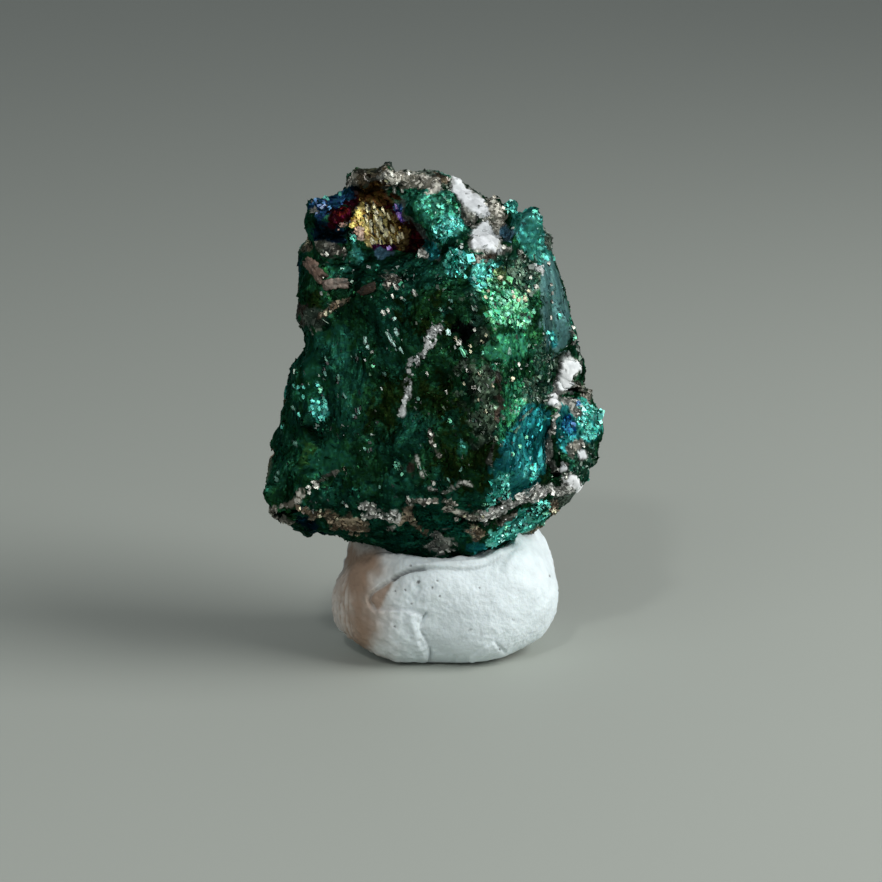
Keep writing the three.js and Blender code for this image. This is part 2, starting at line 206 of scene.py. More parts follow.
def new_object(name, points, triangles, material, layers=None, smooth=False):
    """A mesh object from arrays in mm. layers maps an attribute's name to a row of 3 for each point.

    smooth says whether faces are shaded as round, for all of them or for each."""
    mesh = bpy.data.meshes.new(name)
    mesh.vertices.add(len(points))
    mesh.vertices.foreach_set("co", (points * MM).astype(np.float32).ravel())
    mesh.loops.add(triangles.size)
    mesh.loops.foreach_set("vertex_index", triangles.astype(np.int32).ravel())
    mesh.polygons.add(len(triangles))
    mesh.polygons.foreach_set("loop_start", np.arange(0, triangles.size, 3, dtype=np.int32))
    mesh.polygons.foreach_set("use_smooth", np.broadcast_to(smooth, len(triangles)))
    mesh.update(calc_edges=True)
    mesh.validate()
    for layer, rows in (layers or {}).items():
        attribute = mesh.attributes.new(layer, "FLOAT_COLOR", "POINT")
        filled = np.ones((len(points), 4), np.float32)
        filled[:, :3] = rows
        attribute.data.foreach_set("color", filled.ravel())
    mesh.materials.append(material)
    thing = bpy.data.objects.new(name, mesh)
    bpy.context.scene.collection.objects.link(thing)
    return thing


# ---- What the ore is made of ----


def srgb(red, green, blue):
    """Linear colour from 0 to 255 values as seen on a screen."""
    share = np.array([red, green, blue]) / 255
    return np.where(share <= 0.04045, share / 12.92, ((share + 0.055) / 1.055) ** 2.4)


class Finish:
    """What a patch of the ore is made of.

    Its grains have the colours tint and other, as seen on a screen. metal and rough are the shader's, and
    glitter is how far its facets turn from the surface. Its loose crystals are about size mm long, and
    cover is how many of them lie on a square mm. flash is the share of them with a face turned so that the
    key light glints in it. Where soft is 1, its grains hardly stand out and are all of one lightness."""

    def __init__(
        self, tint, other, metal=1.0, rough=0.45, glitter=0.3, size=0.16, cover=8.0, flash=0.1, soft=0.0
    ):
        self.layers = {
            "tint": srgb(*tint),
            "other": srgb(*other),
            "finish": np.array([metal, rough, glitter]),
            "crystals": np.array([size, cover, flash, soft]),
        }


DARK_GREEN = Finish((19, 53, 31), (28, 69, 43), glitter=0.25, size=0.13, cover=11, flash=0.2, soft=0.2)
MOSS = Finish((27, 46, 18), (20, 50, 27), glitter=0.2, size=0.13, cover=10, flash=0.16, soft=0.2)
OLIVE_SOFT = Finish((32, 66, 32), (26, 66, 38), rough=0.5, glitter=0.1, cover=3, flash=0.1, soft=0.7)
TEAL_SOFT = Finish((26, 74, 52), (30, 82, 60), rough=0.5, glitter=0.15, cover=6, flash=0.2, soft=0.6)
DARK_TEAL = Finish((20, 60, 45), (28, 78, 60), glitter=0.25, size=0.13, cover=12, flash=0.28, soft=0.2)
GREEN_RIM = Finish((24, 72, 48), (36, 88, 62), glitter=0.25, size=0.14, cover=12, flash=0.25)
TEAL = Finish((52, 130, 102), (70, 150, 124), cover=14, flash=0.2)
BLUE_TEAL = Finish((24, 94, 95), (38, 112, 112), glitter=0.2, size=0.13, cover=12, flash=0.08, soft=0.5)
TEAL_FACE = Finish((58, 138, 126), (80, 160, 146), glitter=0.2, size=0.14, cover=12, flash=0.2, soft=0.4)
# Painted light: a lighter teal for the underside at the lower right, which faces away from the key lamp.
PAINTED_LIGHT_TEAL = Finish((88, 208, 190), (126, 232, 214), 0.6, cover=18, flash=0.4, soft=0.35)
GREEN_FACE = Finish((34, 98, 66), (50, 120, 86), cover=12, flash=0.25)
CYAN = Finish((66, 176, 160), (106, 206, 190), glitter=0.4, size=0.18, cover=22, flash=0.5)
MINT = Finish((66, 158, 114), (120, 200, 152), glitter=0.3, size=0.18, cover=22, flash=0.38)
YELLOW_GREEN = Finish((104, 132, 84), (62, 108, 72), glitter=0.4, cover=14, flash=0.4)
SPARKLY_DARK = Finish((38, 70, 56), (92, 116, 98), glitter=0.35, size=0.14, cover=20, flash=0.3)
SOFT_GREEN = Finish(
    (64, 150, 110), (46, 120, 86), rough=0.5, glitter=0.2, size=0.13, cover=9, flash=0.15, soft=0.5
)
SLATE = Finish((70, 106, 103), (58, 96, 95), 0.6, 0.5, 0.15, size=0.12, cover=6, flash=0.08, soft=0.6)
GOLD = Finish((226, 206, 132), (140, 118, 68), 0.7, glitter=0.35, size=0.15, cover=11, flash=0.45)
# Dull gold; it is also the painted shade on the pocket's wall that the teal lump shadows.
DULL_GOLD_AND_SHADE = Finish((132, 112, 66), (96, 78, 44), 0.7, glitter=0.3, size=0.15, cover=14, flash=0.4)
# A brighter gold, laid where the pocket's brightest glints show: painted highlight.
BRIGHT_GOLD = Finish((230, 186, 84), (240, 204, 120), rough=0.4, glitter=0.2, cover=8, flash=0.5)
# Painted light: the peach is paler than it looks in the shade where it lies, so that it reads lit.
LIT_PEACH = Finish((242, 200, 174), (250, 224, 206), 0.4, 0.4, 0.2, cover=8, flash=0.4)
RUST_GOLD = Finish((98, 72, 38), (70, 44, 24), glitter=0.35)
DARK_RED = Finish((58, 10, 18), (38, 8, 16), glitter=0.25, flash=0.05)
DARK_PURPLE = Finish((56, 12, 52), (34, 10, 34), glitter=0.25)
BLUE = Finish((38, 72, 112), (58, 108, 150), glitter=0.35, cover=10, flash=0.3)
NAVY = Finish((14, 34, 50), (18, 48, 66), cover=4)
# Painted light: a pale grey that lightens the shadow the teal lump casts beside the gold pocket.
SHADOW_FILL = Finish((72, 82, 78), (92, 104, 98), 0.5, 0.5, 0.2, cover=6, flash=0)
STRONG_BLUE = Finish((24, 84, 132), (46, 122, 160), flash=0.15)
BLUE_GREY = Finish((58, 96, 116), (88, 124, 142), metal=0.3, rough=0.5, cover=12, flash=0.15)
VIOLET = Finish((80, 50, 180), (150, 110, 220), cover=20, flash=0.5)
# Painted shade: near black, laid into a dip, a notch, cracks and the crevice, where shade falls.
SHADE_BLACK = Finish((7, 10, 10), (12, 18, 16), rough=0.5, glitter=0.2, cover=2)
VEIN = Finish((158, 160, 158), (220, 222, 220), 0.0, 0.5, 0.2, size=0.15, cover=36, flash=0)
QUARTZ = Finish((218, 221, 223), (196, 199, 200), 0.0, 0.6, 0.1, cover=0, flash=0, soft=0.65)
# Painted light: a lighter quartz for the chips that lie in shade, so that they read as lit.
PAINTED_LIGHT_QUARTZ = Finish((244, 246, 246), (224, 227, 228), 0.0, 0.6, 0.1, cover=0, flash=0, soft=0.65)
PALE_BEADS = Finish((134, 133, 128), (240, 239, 234), 0.0, 0.5, 0.2, size=0.15, cover=36, flash=0.05)
SEAM = Finish((84, 70, 54), (158, 142, 120), 0.3, 0.45, size=0.14, cover=34, flash=0.14)
PALE_SEAM = Finish((98, 92, 82), (192, 187, 176), 0.2, 0.5, size=0.14, cover=34, flash=0.14)
BROWN = Finish((48, 40, 29), (96, 84, 66), 0.5, 0.45, size=0.14, cover=18, flash=0.2)
DARK_MIX = Finish((29, 46, 32), (84, 104, 84), 0.8, 0.45, size=0.18, cover=18, flash=0.5)
GREY = Finish((104, 104, 98), (176, 176, 168), 0.2, 0.5, size=0.14, cover=30, flash=0.06)
CRUST = Finish((62, 60, 52), (134, 130, 120), 0.3, 0.5, size=0.14, cover=30, flash=0.1)
BEIGE = Finish((122, 118, 106), (204, 200, 188), 0.1, 0.5, size=0.15, cover=30, flash=0.1)
DARK_GREY = Finish((52, 64, 54), (98, 108, 96), 0.5, 0.45, size=0.15, cover=26, flash=0.15)
RED_BROWN = Finish((40, 29, 21), (50, 38, 28), 0.5, 0.45)


# ---- Where it shows in the photograph (pixels): the side that the camera sees ----

# fmt: off
# Each patch has its finish, how soft and how wavy its edge is, and its outline. Later ones lie on top.
SHOWN_PATCHES = {
    "left flank": (DARK_TEAL, 30, 12, [
        (304, 330), (352, 330), (372, 396), (356, 440), (300, 440), (290, 396),
    ]),
    "foot": (DARK_TEAL, 20, 8, [(300, 486), (420, 486), (480, 500), (470, 552), (350, 548), (280, 520)]),
    "upper middle": (MOSS, 20, 8, [(398, 296), (442, 290), (460, 322), (430, 334), (404, 330)]),
    "lower middle": (MOSS, 22, 10, [(420, 424), (500, 400), (500, 470), (486, 500), (440, 486)]),
    "centre": (MOSS, 24, 12, [(380, 380), (440, 376), (470, 400), (400, 440), (370, 430)]),
    "left shoulder": (MOSS, 10, 6, [(300, 282), (324, 286), (330, 304), (300, 312)]),
    "dark slab": (DARK_TEAL, 8, 3, [(400, 416), (428, 414), (430, 448), (410, 456), (398, 444)]),
    "soft olive": (OLIVE_SOFT, 10, 4, [(294, 442), (310, 438), (322, 446), (320, 468), (300, 472)]),
    "soft teal": (TEAL_SOFT, 8, 4, [
        (320, 440), (340, 440), (350, 456), (346, 470), (322, 478), (300, 474),
    ]),
    "green left rim": (GREEN_RIM, 8, 6, [
        (282, 420), (298, 430), (300, 452), (290, 490), (268, 488), (274, 456),
    ]),
    "left streaks": (TEAL_SOFT, 8, 5, [(302, 352), (316, 350), (324, 372), (318, 386), (304, 384)]),
    "left dots": (GREEN_FACE, 8, 5, [
        (292, 382), (308, 380), (326, 384), (322, 398), (300, 402), (290, 398),
    ]),
    "left glow": (CYAN, 5, 3, [(315, 398), (322, 396), (329, 406), (327, 416), (316, 419), (311, 410)]),
    "under the pocket": (DARK_TEAL, 10, 5, [(346, 246), (440, 262), (446, 286), (392, 292), (346, 276)]),
    "teal spots": (TEAL_SOFT, 5, 4, [
        (350, 236), (360, 240), (364, 262), (384, 270), (376, 280), (352, 262),
    ]),
    "teal spot": (TEAL_FACE, 4, 3, [
        (349, 234), (357, 236), (363, 250), (360, 264), (353, 258), (350, 246),
    ]),
    "left teal": (TEAL_SOFT, 5, 4, [(324, 256), (336, 258), (340, 272), (330, 274)]),
    "small teal": (DARK_TEAL, 5, 3, [(306, 226), (318, 228), (318, 242), (306, 240)]),
    # Painted shade under the overhang, in near black.
    "dark dip": (SHADE_BLACK, 14, 5, [(454, 322), (474, 318), (476, 332), (466, 338), (456, 332)]),
    "brown specks": (DARK_MIX, 6, 4, [(476, 326), (492, 330), (490, 346), (476, 344)]),
    "brown middle": (DARK_MIX, 16, 9, [(462, 366), (500, 362), (500, 398), (476, 406), (458, 392)]),
    "right front": (DARK_GREEN, 12, 6, [(500, 360), (530, 340), (546, 380), (520, 404), (500, 400)]),
    "green edge": (GREEN_FACE, 10, 5, [
        (498, 410), (514, 380), (528, 372), (524, 400), (512, 440), (498, 450),
    ]),
    "right face": (BLUE_TEAL, 8, 5, [
        (512, 420), (530, 404), (548, 404), (550, 440), (546, 490), (490, 508), (498, 460),
    ]),
    "right face glow": (CYAN, 8, 6, [(484, 504), (496, 480), (510, 476), (508, 494), (494, 510)]),
    "right face spot": (CYAN, 5, 4, [(528, 464), (538, 462), (540, 476), (530, 480)]),
    "grey shelf": (SPARKLY_DARK, 6, 4, [(520, 380), (548, 374), (554, 400), (540, 404), (522, 398)]),
    "grey right": (SPARKLY_DARK, 8, 5, [(530, 340), (548, 330), (560, 352), (556, 376), (536, 376)]),
    "lump top": (GREEN_FACE, 6, 4, [
        (396, 188), (414, 184), (440, 186), (450, 196), (424, 206), (402, 200),
    ]),
    "teal lump": (TEAL, 6, 5, [
        (400, 188), (430, 184), (450, 194), (464, 206), (466, 226), (442, 250), (424, 236), (408, 210),
    ]),
    "lump glints": (CYAN, 5, 4, [(434, 228), (448, 214), (462, 214), (464, 226), (446, 240), (438, 242)]),
    "right lump": (TEAL_FACE, 6, 5, [
        (500, 196), (516, 194), (526, 206), (546, 202), (556, 250), (546, 272), (516, 246),
    ]),
    "right lump shade": (TEAL_FACE, 6, 4, [(522, 222), (544, 216), (552, 250), (544, 262), (520, 244)]),
    "right lump glints": (CYAN, 4, 3, [(503, 202), (512, 202), (514, 216), (506, 218)]),
    "right rim": (DARK_GREY, 4, 3, [(544, 212), (552, 226), (556, 250), (546, 246)]),
    "beige granules": (BEIGE, 4, 3, [
        (484, 194), (502, 194), (506, 216), (509, 234), (494, 236), (486, 216),
    ]),
    "grey under quartz": (CRUST, 4, 3, [(460, 204), (476, 210), (480, 222), (466, 226)]),
    "blue grey": (BLUE_GREY, 4, 3, [(498, 226), (512, 226), (516, 246), (500, 242)]),
    "dark gap": (CRUST, 4, 3, [(470, 252), (496, 252), (498, 262), (474, 264)]),
    "dark gap end": (RED_BROWN, 4, 3, [(484, 251), (502, 250), (503, 260), (486, 263)]),
    "dark right": (SPARKLY_DARK, 8, 5, [
        (496, 254), (520, 252), (544, 276), (540, 300), (520, 296), (500, 276),
    ]),
    "cyan lump": (CYAN, 5, 4, [(444, 250), (456, 242), (470, 250), (470, 266), (462, 282), (446, 272)]),
    "cyan shelf": (CYAN, 6, 5, [(472, 264), (496, 262), (498, 284), (484, 292), (470, 284)]),
    "mint cluster": (MINT, 12, 7, [
        (482, 280), (498, 276), (520, 288), (538, 306), (534, 328), (500, 326), (480, 308),
    ]),
    "mint below": (SPARKLY_DARK, 8, 5, [(462, 290), (482, 290), (486, 324), (470, 326)]),
    "yellow spot": (YELLOW_GREEN, 8, 4, [(496, 272), (507, 273), (510, 286), (498, 286)]),
    "soft green": (SOFT_GREEN, 14, 5, [
        (488, 340), (510, 332), (528, 336), (524, 352), (506, 366), (490, 362),
    ]),
    "slate side": (SLATE, 10, 4, [
        (540, 270), (554, 260), (564, 286), (572, 330), (566, 352), (546, 350), (538, 320),
    ]),
    "slate glow": (BLUE_TEAL, 5, 4, [(548, 326), (560, 330), (560, 346), (548, 348)]),
    "top brown": (BROWN, 5, 4, [(344, 170), (356, 160), (392, 160), (390, 196), (362, 200), (354, 186)]),
    "top olive": (DARK_GREY, 5, 4, [
        (384, 166), (400, 162), (440, 172), (452, 184), (440, 188), (400, 180),
    ]),
    "top reddish": (BROWN, 4, 3, [(432, 172), (448, 176), (446, 184), (434, 182)]),
    "top grey knob": (BEIGE, 4, 3, [(344, 174), (356, 174), (360, 184), (350, 190), (344, 186)]),
    "top grey stripe": (GREY, 3, 2, [(377, 172), (388, 172), (388, 194), (380, 194)]),
    "top grey beads": (BEIGE, 4, 3, [
        (384, 168), (398, 170), (424, 175), (440, 180), (438, 189), (424, 192), (402, 187), (392, 185),
    ]),
    "left brown knob": (BROWN, 4, 3, [(298, 240), (308, 238), (314, 246), (308, 254), (298, 252)]),
    # Painted shade: the deep pit here is painted dark navy.
    "hollow": (NAVY, 6, 3, [(316, 222), (344, 220), (350, 236), (346, 246), (318, 244), (312, 234)]),
    "grey crust": (CRUST, 4, 3, [(312, 246), (326, 242), (346, 246), (344, 256), (326, 260)]),
    # Painted light in the teal lump's cast shadow, in a pale grey.
    "shadow": (SHADOW_FILL, 5, 4, [
        (388, 194), (396, 196), (410, 218), (428, 238), (442, 254), (436, 262), (410, 236), (398, 212),
    ]),
    "blue knob": (BLUE, 5, 4, [
        (306, 208), (312, 197), (326, 189), (342, 186), (350, 192), (346, 208), (322, 217),
    ]),
    "knob shade": (NAVY, 4, 3, [(340, 190), (356, 184), (362, 198), (346, 210)]),
    "knob chip": (GREY, 3, 2, [(309, 207), (316, 207), (317, 213), (311, 213)]),
    "red left": (DARK_RED, 5, 4, [
        (326, 214), (350, 200), (362, 196), (356, 212), (346, 226), (336, 232), (328, 224),
    ]),
    "red top": (RUST_GOLD, 6, 4, [
        (358, 188), (378, 184), (390, 192), (398, 202), (392, 214), (366, 206),
    ]),
    "red right": (DARK_RED, 5, 3, [
        (386, 200), (396, 206), (410, 226), (424, 240), (420, 252), (398, 252), (392, 220),
    ]),
    # Painted shade on the pocket's right wall, which the teal lump shadows, in the duller gold.
    "gold shade": (DULL_GOLD_AND_SHADE, 5, 3, [
        (382, 206), (394, 212), (410, 232), (411, 246), (396, 250), (384, 240),
    ]),
    "gold pocket": (GOLD, 6, 3, [
        (350, 214), (360, 204), (380, 204), (392, 218), (402, 236), (394, 246), (364, 246),
    ]),
    # Painted highlight: brighter gold under the pocket's brightest glints.
    "gold glow": (BRIGHT_GOLD, 3, 2, [(350, 226), (355, 212), (362, 209), (366, 218), (358, 228)]),
    # The peach spots are painted lighter, as painted light.
    "peach glow": (LIT_PEACH, 3, 2, [(351, 228), (364, 225), (366, 240), (357, 242)]),
    "peach spot": (LIT_PEACH, 3, 2, [(336, 226), (347, 221), (349, 225), (340, 231)]),
    "purple below": (DARK_PURPLE, 3, 2, [(370, 244), (394, 242), (398, 250), (378, 252)]),
    "violet streak": (VIOLET, 2, 1, [(394, 209), (401, 210), (406, 223), (400, 223)]),
    "violet tail": (BLUE, 3, 2, [(392, 202), (398, 202), (404, 214), (398, 214)]),
    "blue beads": (BLUE_GREY, 3, 3, [(374, 250), (390, 248), (394, 258), (378, 262)]),
    "blue wisps": (BLUE_TEAL, 3, 3, [(424, 240), (434, 244), (440, 256), (430, 260)]),
    "pale beads": (GREY, 2, 2, [(418, 246), (424, 248), (426, 258), (418, 257)]),
    "beige beads": (CRUST, 5, 4, [(380, 272), (398, 270), (402, 284), (384, 286)]),
    "left dark ledge": (RED_BROWN, 5, 4, [(292, 300), (308, 300), (310, 324), (296, 326)]),
    "left grey ledge": (DARK_GREY, 5, 4, [(306, 308), (318, 308), (324, 322), (316, 331), (306, 322)]),
    "dotted front": (DARK_MIX, 20, 9, [(474, 404), (494, 396), (500, 430), (486, 450), (470, 436)]),
    "red speck": (RED_BROWN, 6, 3, [(404, 460), (416, 460), (414, 472), (406, 472)]),
    "blue in the middle": (TEAL_SOFT, 8, 4, [(459, 440), (465, 440), (466, 452), (461, 453)]),
    "knob": (BLUE_TEAL, 6, 4, [(558, 400), (580, 396), (604, 420), (596, 444), (570, 458), (556, 440)]),
    "knob glitter": (CYAN, 4, 4, [(574, 404), (590, 400), (604, 424), (592, 438), (576, 432)]),
    "knob blue": (STRONG_BLUE, 4, 3, [(562, 416), (574, 414), (578, 434), (566, 440)]),
    "knob pale": (GREY, 4, 3, [(560, 397), (572, 395), (584, 412), (578, 420), (568, 408)]),
    "knob foot": (CRUST, 5, 4, [(570, 440), (582, 442), (588, 458), (578, 464), (568, 458)]),
    "knob top": (CRUST, 5, 4, [(574, 384), (584, 384), (598, 400), (590, 400), (578, 394)]),
    "knob moss": (SPARKLY_DARK, 5, 4, [(584, 444), (600, 442), (592, 470), (572, 480), (572, 464)]),
    # Painted shade in the notch.
    "dark notch": (SHADE_BLACK, 3, 2, [(548, 466), (562, 468), (562, 478), (552, 478)]),
    # Painted light on the lower right's underside.
    "lower right": (PAINTED_LIGHT_TEAL, 5, 4, [
        (482, 546), (500, 524), (530, 504), (552, 500), (534, 530), (500, 548),
    ]),
    "lower right cyan": (CYAN, 6, 5, [
        (512, 514), (534, 498), (552, 500), (546, 518), (528, 530), (514, 528),
    ]),
    "lower glints": (CYAN, 6, 5, [(494, 536), (512, 522), (520, 532), (504, 546), (490, 548)]),
    "right corner": (DARK_GREY, 4, 3, [(550, 492), (570, 484), (578, 492), (560, 510), (550, 512)]),
    "corner gold": (SEAM, 3, 2, [(550, 500), (560, 502), (558, 514), (550, 514)]),
    "navy foot": (NAVY, 6, 3, [(292, 514), (316, 520), (328, 532), (300, 534)]),
    "pale foot": (GREY, 6, 5, [(432, 532), (448, 534), (454, 552), (436, 554), (428, 544)]),
    "bronze foot": (SEAM, 5, 4, [(468, 524), (484, 528), (480, 544), (470, 542)]),
    "blue foot": (BLUE_TEAL, 4, 3, [(464, 546), (484, 542), (488, 552), (468, 554)]),
}
# Chips of quartz and vein laid over the patches: finish, how far they stand up in mm, and outline.
SHOWN_CHIPS = {
    "upper": (QUARTZ, 0.12, [
        (450, 175), (458, 178), (468, 187), (478, 195), (486, 202), (488, 216), (478, 214), (464, 204),
        (454, 190),
    ]),
    "lower": (QUARTZ, 0.15, [
        (472, 228), (480, 221), (490, 223), (494, 232), (501, 240), (498, 252), (484, 251), (469, 248),
    ]),
    # The right and corner chips take the lighter quartz: painted light.
    "right": (PAINTED_LIGHT_QUARTZ, 0.2, [
        (561, 360), (565, 354), (577, 361), (579, 370), (572, 377), (573, 387), (560, 396), (553, 387),
        (561, 374),
    ]),
    "right tail": (PAINTED_LIGHT_QUARTZ, 0.12, [(554, 390), (558, 395), (558, 408), (552, 406), (549, 400)]),
    "knob chip": (QUARTZ, 0.12, [(580, 451), (587, 450), (588, 458), (582, 460)]),
    "corner": (PAINTED_LIGHT_QUARTZ, 0.15, [
        (561, 476), (572, 474), (581, 483), (580, 491), (572, 490), (563, 484),
    ]),
    "corner tail": (QUARTZ, 0.1, [(561, 465), (567, 464), (567, 471), (562, 472)]),
    "edge": (VEIN, 0.1, [(524, 261), (534, 267), (544, 264), (543, 273), (534, 272)]),
    "bead": (QUARTZ, 0.12, [(498, 246), (503, 246), (503, 252), (498, 252)]),
    "vein top": (VEIN, 0.1, [
        (430, 326), (446, 325), (444, 331), (436, 333), (434, 344), (426, 351), (421, 349), (424, 338),
    ]),
    "vein neck": (VEIN, 0.08, [(424, 350), (426, 352), (420, 360), (415, 364), (413, 361), (418, 354)]),
    "vein fork left": (VEIN, 0.1, [(408, 362), (413, 360), (414, 366), (411, 374), (407, 373)]),
    "vein fork right": (VEIN, 0.1, [(416, 365), (420, 362), (418, 370), (412, 377), (411, 373)]),
    "vein foot": (VEIN, 0.08, [(405, 378), (411, 379), (411, 388), (407, 391), (403, 387)]),
    "vein grain": (VEIN, 0.08, [(404, 391), (411, 394), (409, 399), (405, 396)]),
}
# Seams, veins and cracks: finish, how far they stand up in mm, half width at each end, and points.
SHOWN_LINES = {
    "vein tail": (VEIN, 0.06, (1.3, 0.9), [(405, 398), (403, 406), (402, 416)]),
    "seam left": (PALE_SEAM, 0.12, (2.6, 4.2), [(272, 511), (285, 506), (297, 503), (301, 497)]),
    "seam lower left": (CRUST, 0.15, (1.5, 2.0), [(274, 516), (284, 518), (292, 521)]),
    "seam middle": (SEAM, 0.15, (4.0, 6.5), [(300, 508), (318, 514), (334, 520), (350, 522), (362, 525)]),
    "seam knot": (PALE_BEADS, 0.15, (4.6, 4.2), [
        (364, 504), (372, 508), (370, 516), (382, 514), (398, 516),
    ]),
    "seam step": (SEAM, 0.2, (3.6, 3.2), [(404, 517), (409, 508), (409, 500)]),
    "seam right": (PALE_SEAM, 0.12, (3.0, 4.6), [
        (410, 500), (426, 502), (441, 501), (454, 510), (468, 516), (484, 517),
    ]),
    "seam far right": (PALE_BEADS, 0.15, (5.0, 6.0), [
        (484, 518), (498, 510), (514, 502), (534, 492), (552, 491), (566, 487),
    ]),
    "seam branch": (PALE_SEAM, 0.18, (2.0, 2.2), [(498, 526), (506, 520), (516, 512)]),
    "foot branch": (SEAM, 0.12, (1.4, 1.2), [(412, 522), (420, 530), (426, 534)]),
    # Painted shade: the cracks are near black.
    "crack": (SHADE_BLACK, -0.3, (1.2, 2.0), [(275, 514), (286, 513), (297, 511)]),
    "shelf crack": (SHADE_BLACK, -0.2, (1.2, 1.8), [(464, 522), (478, 524), (490, 520)]),
    "ledge beads": (SEAM, 0.1, (2.0, 1.2), [(319, 317), (328, 311), (338, 304), (348, 300)]),
    "thin upper": (GREY, 0.08, (0.9, 1.0), [(430, 488), (444, 494), (454, 488), (464, 482), (472, 486)]),
    "thin arc": (GREY, 0.06, (1.0, 0.8), [(386, 532), (394, 527), (397, 519)]),
    "thin edge": (CRUST, 0.08, (1.0, 1.4), [(488, 462), (492, 448), (496, 440)]),
    "thin edge top": (RED_BROWN, 0.05, (2.2, 2.2), [(497, 374), (500, 394), (498, 420)]),
    "thin left": (CRUST, 0.08, (1.0, 1.0), [(316, 482), (330, 474), (344, 469)]),
    "thin middle": (CRUST, 0.06, (1.2, 1.0), [(430, 430), (431, 440), (434, 450), (440, 456)]),
    "thin lower": (GREY, 0.06, (0.8, 0.8), [(416, 456), (420, 468), (424, 478)]),
    "crust line": (GREY, 0.1, (1.4, 2.0), [(557, 408), (554, 424), (549, 440), (548, 456), (554, 470)]),
    "white rim": (GREY, 0.1, (1.6, 1.6), [(502, 248), (514, 250), (524, 256)]),
    "pale rim": (GREY, 0.1, (1.6, 1.6), [(572, 332), (576, 340), (578, 348)]),
    # Painted shade along the crevice.
    "crevice": (SHADE_BLACK, -0.15, (1.6, 1.8), [(556, 396), (564, 391), (574, 389), (582, 393)]),
    "pocket stripe 1": (RUST_GOLD, -0.15, (0.8, 1.4), [(369, 198), (370, 214), (375, 240)]),
    "pocket stripe 2": (RUST_GOLD, -0.15, (0.8, 1.2), [(375, 202), (380, 220), (389, 244)]),
    "pocket stripe 3": (RUST_GOLD, -0.15, (1.2, 1.4), [(382, 204), (389, 220), (399, 246)]),
    "pocket stripe 4": (RUST_GOLD, -0.12, (1.0, 1.2), [(392, 216), (400, 228), (406, 246)]),
}
# Low swells and dents that the solid's coarse faces leave out: height in mm, radius in pixels, and middle.
SHOWN_SWELLS = {
    "beige lump": (0.45, 11, (495, 204)),
    "right lump, left": (0.5, 9, (511, 207)),
    "right lump, right": (0.45, 11, (532, 214)),
    "right corner": (-0.3, 7, (546, 217)),
    "quartz seat": (0.15, 12, (572, 370)),
    "quartz lip": (0.3, 9, (563, 385)),
    "crevice end": (0.25, 8, (580, 392)),
    "corner quartz": (0.25, 9, (571, 483)),
    "knob foot": (-0.5, 10, (596, 472)),
    "top notch": (0.8, 12, (386, 176)),
    "left dent": (-0.5, 8, (269, 453)),
    "foot bump": (0.35, 9, (308, 534)),
}
# Stretches pressed towards a plane: how far they give way to it, the way it looks, and their outline.
SHOWN_FLATS = {
    "right quartz": (0.8, (0.42, -0.85, 0.32), [
        (556, 352), (580, 354), (584, 376), (577, 398), (548, 400), (550, 376),
    ]),
}
# Stretches where the grains are drawn out: the way they run, to the right and up, and their outline.
SHOWN_STREAKS = {
    "left": ((0.04, 1.0), [(300, 320), (352, 320), (372, 400), (352, 440), (284, 440), (292, 380)]),
    "pocket": ((-0.3, 1.0), [(350, 200), (384, 196), (414, 236), (396, 250), (360, 248)]),
    "middle": ((-0.5, 1.0), [(376, 310), (404, 310), (404, 360), (376, 360)]),
    "right face": ((0.6, 1.0), [(500, 420), (524, 384), (552, 400), (548, 480), (496, 500)]),
    "lower right": ((0.9, 0.8), [(484, 546), (500, 520), (550, 498), (540, 530), (500, 552)]),
    "slate": ((-0.2, 1.0), [(540, 264), (560, 264), (574, 340), (556, 350), (542, 330)]),
}
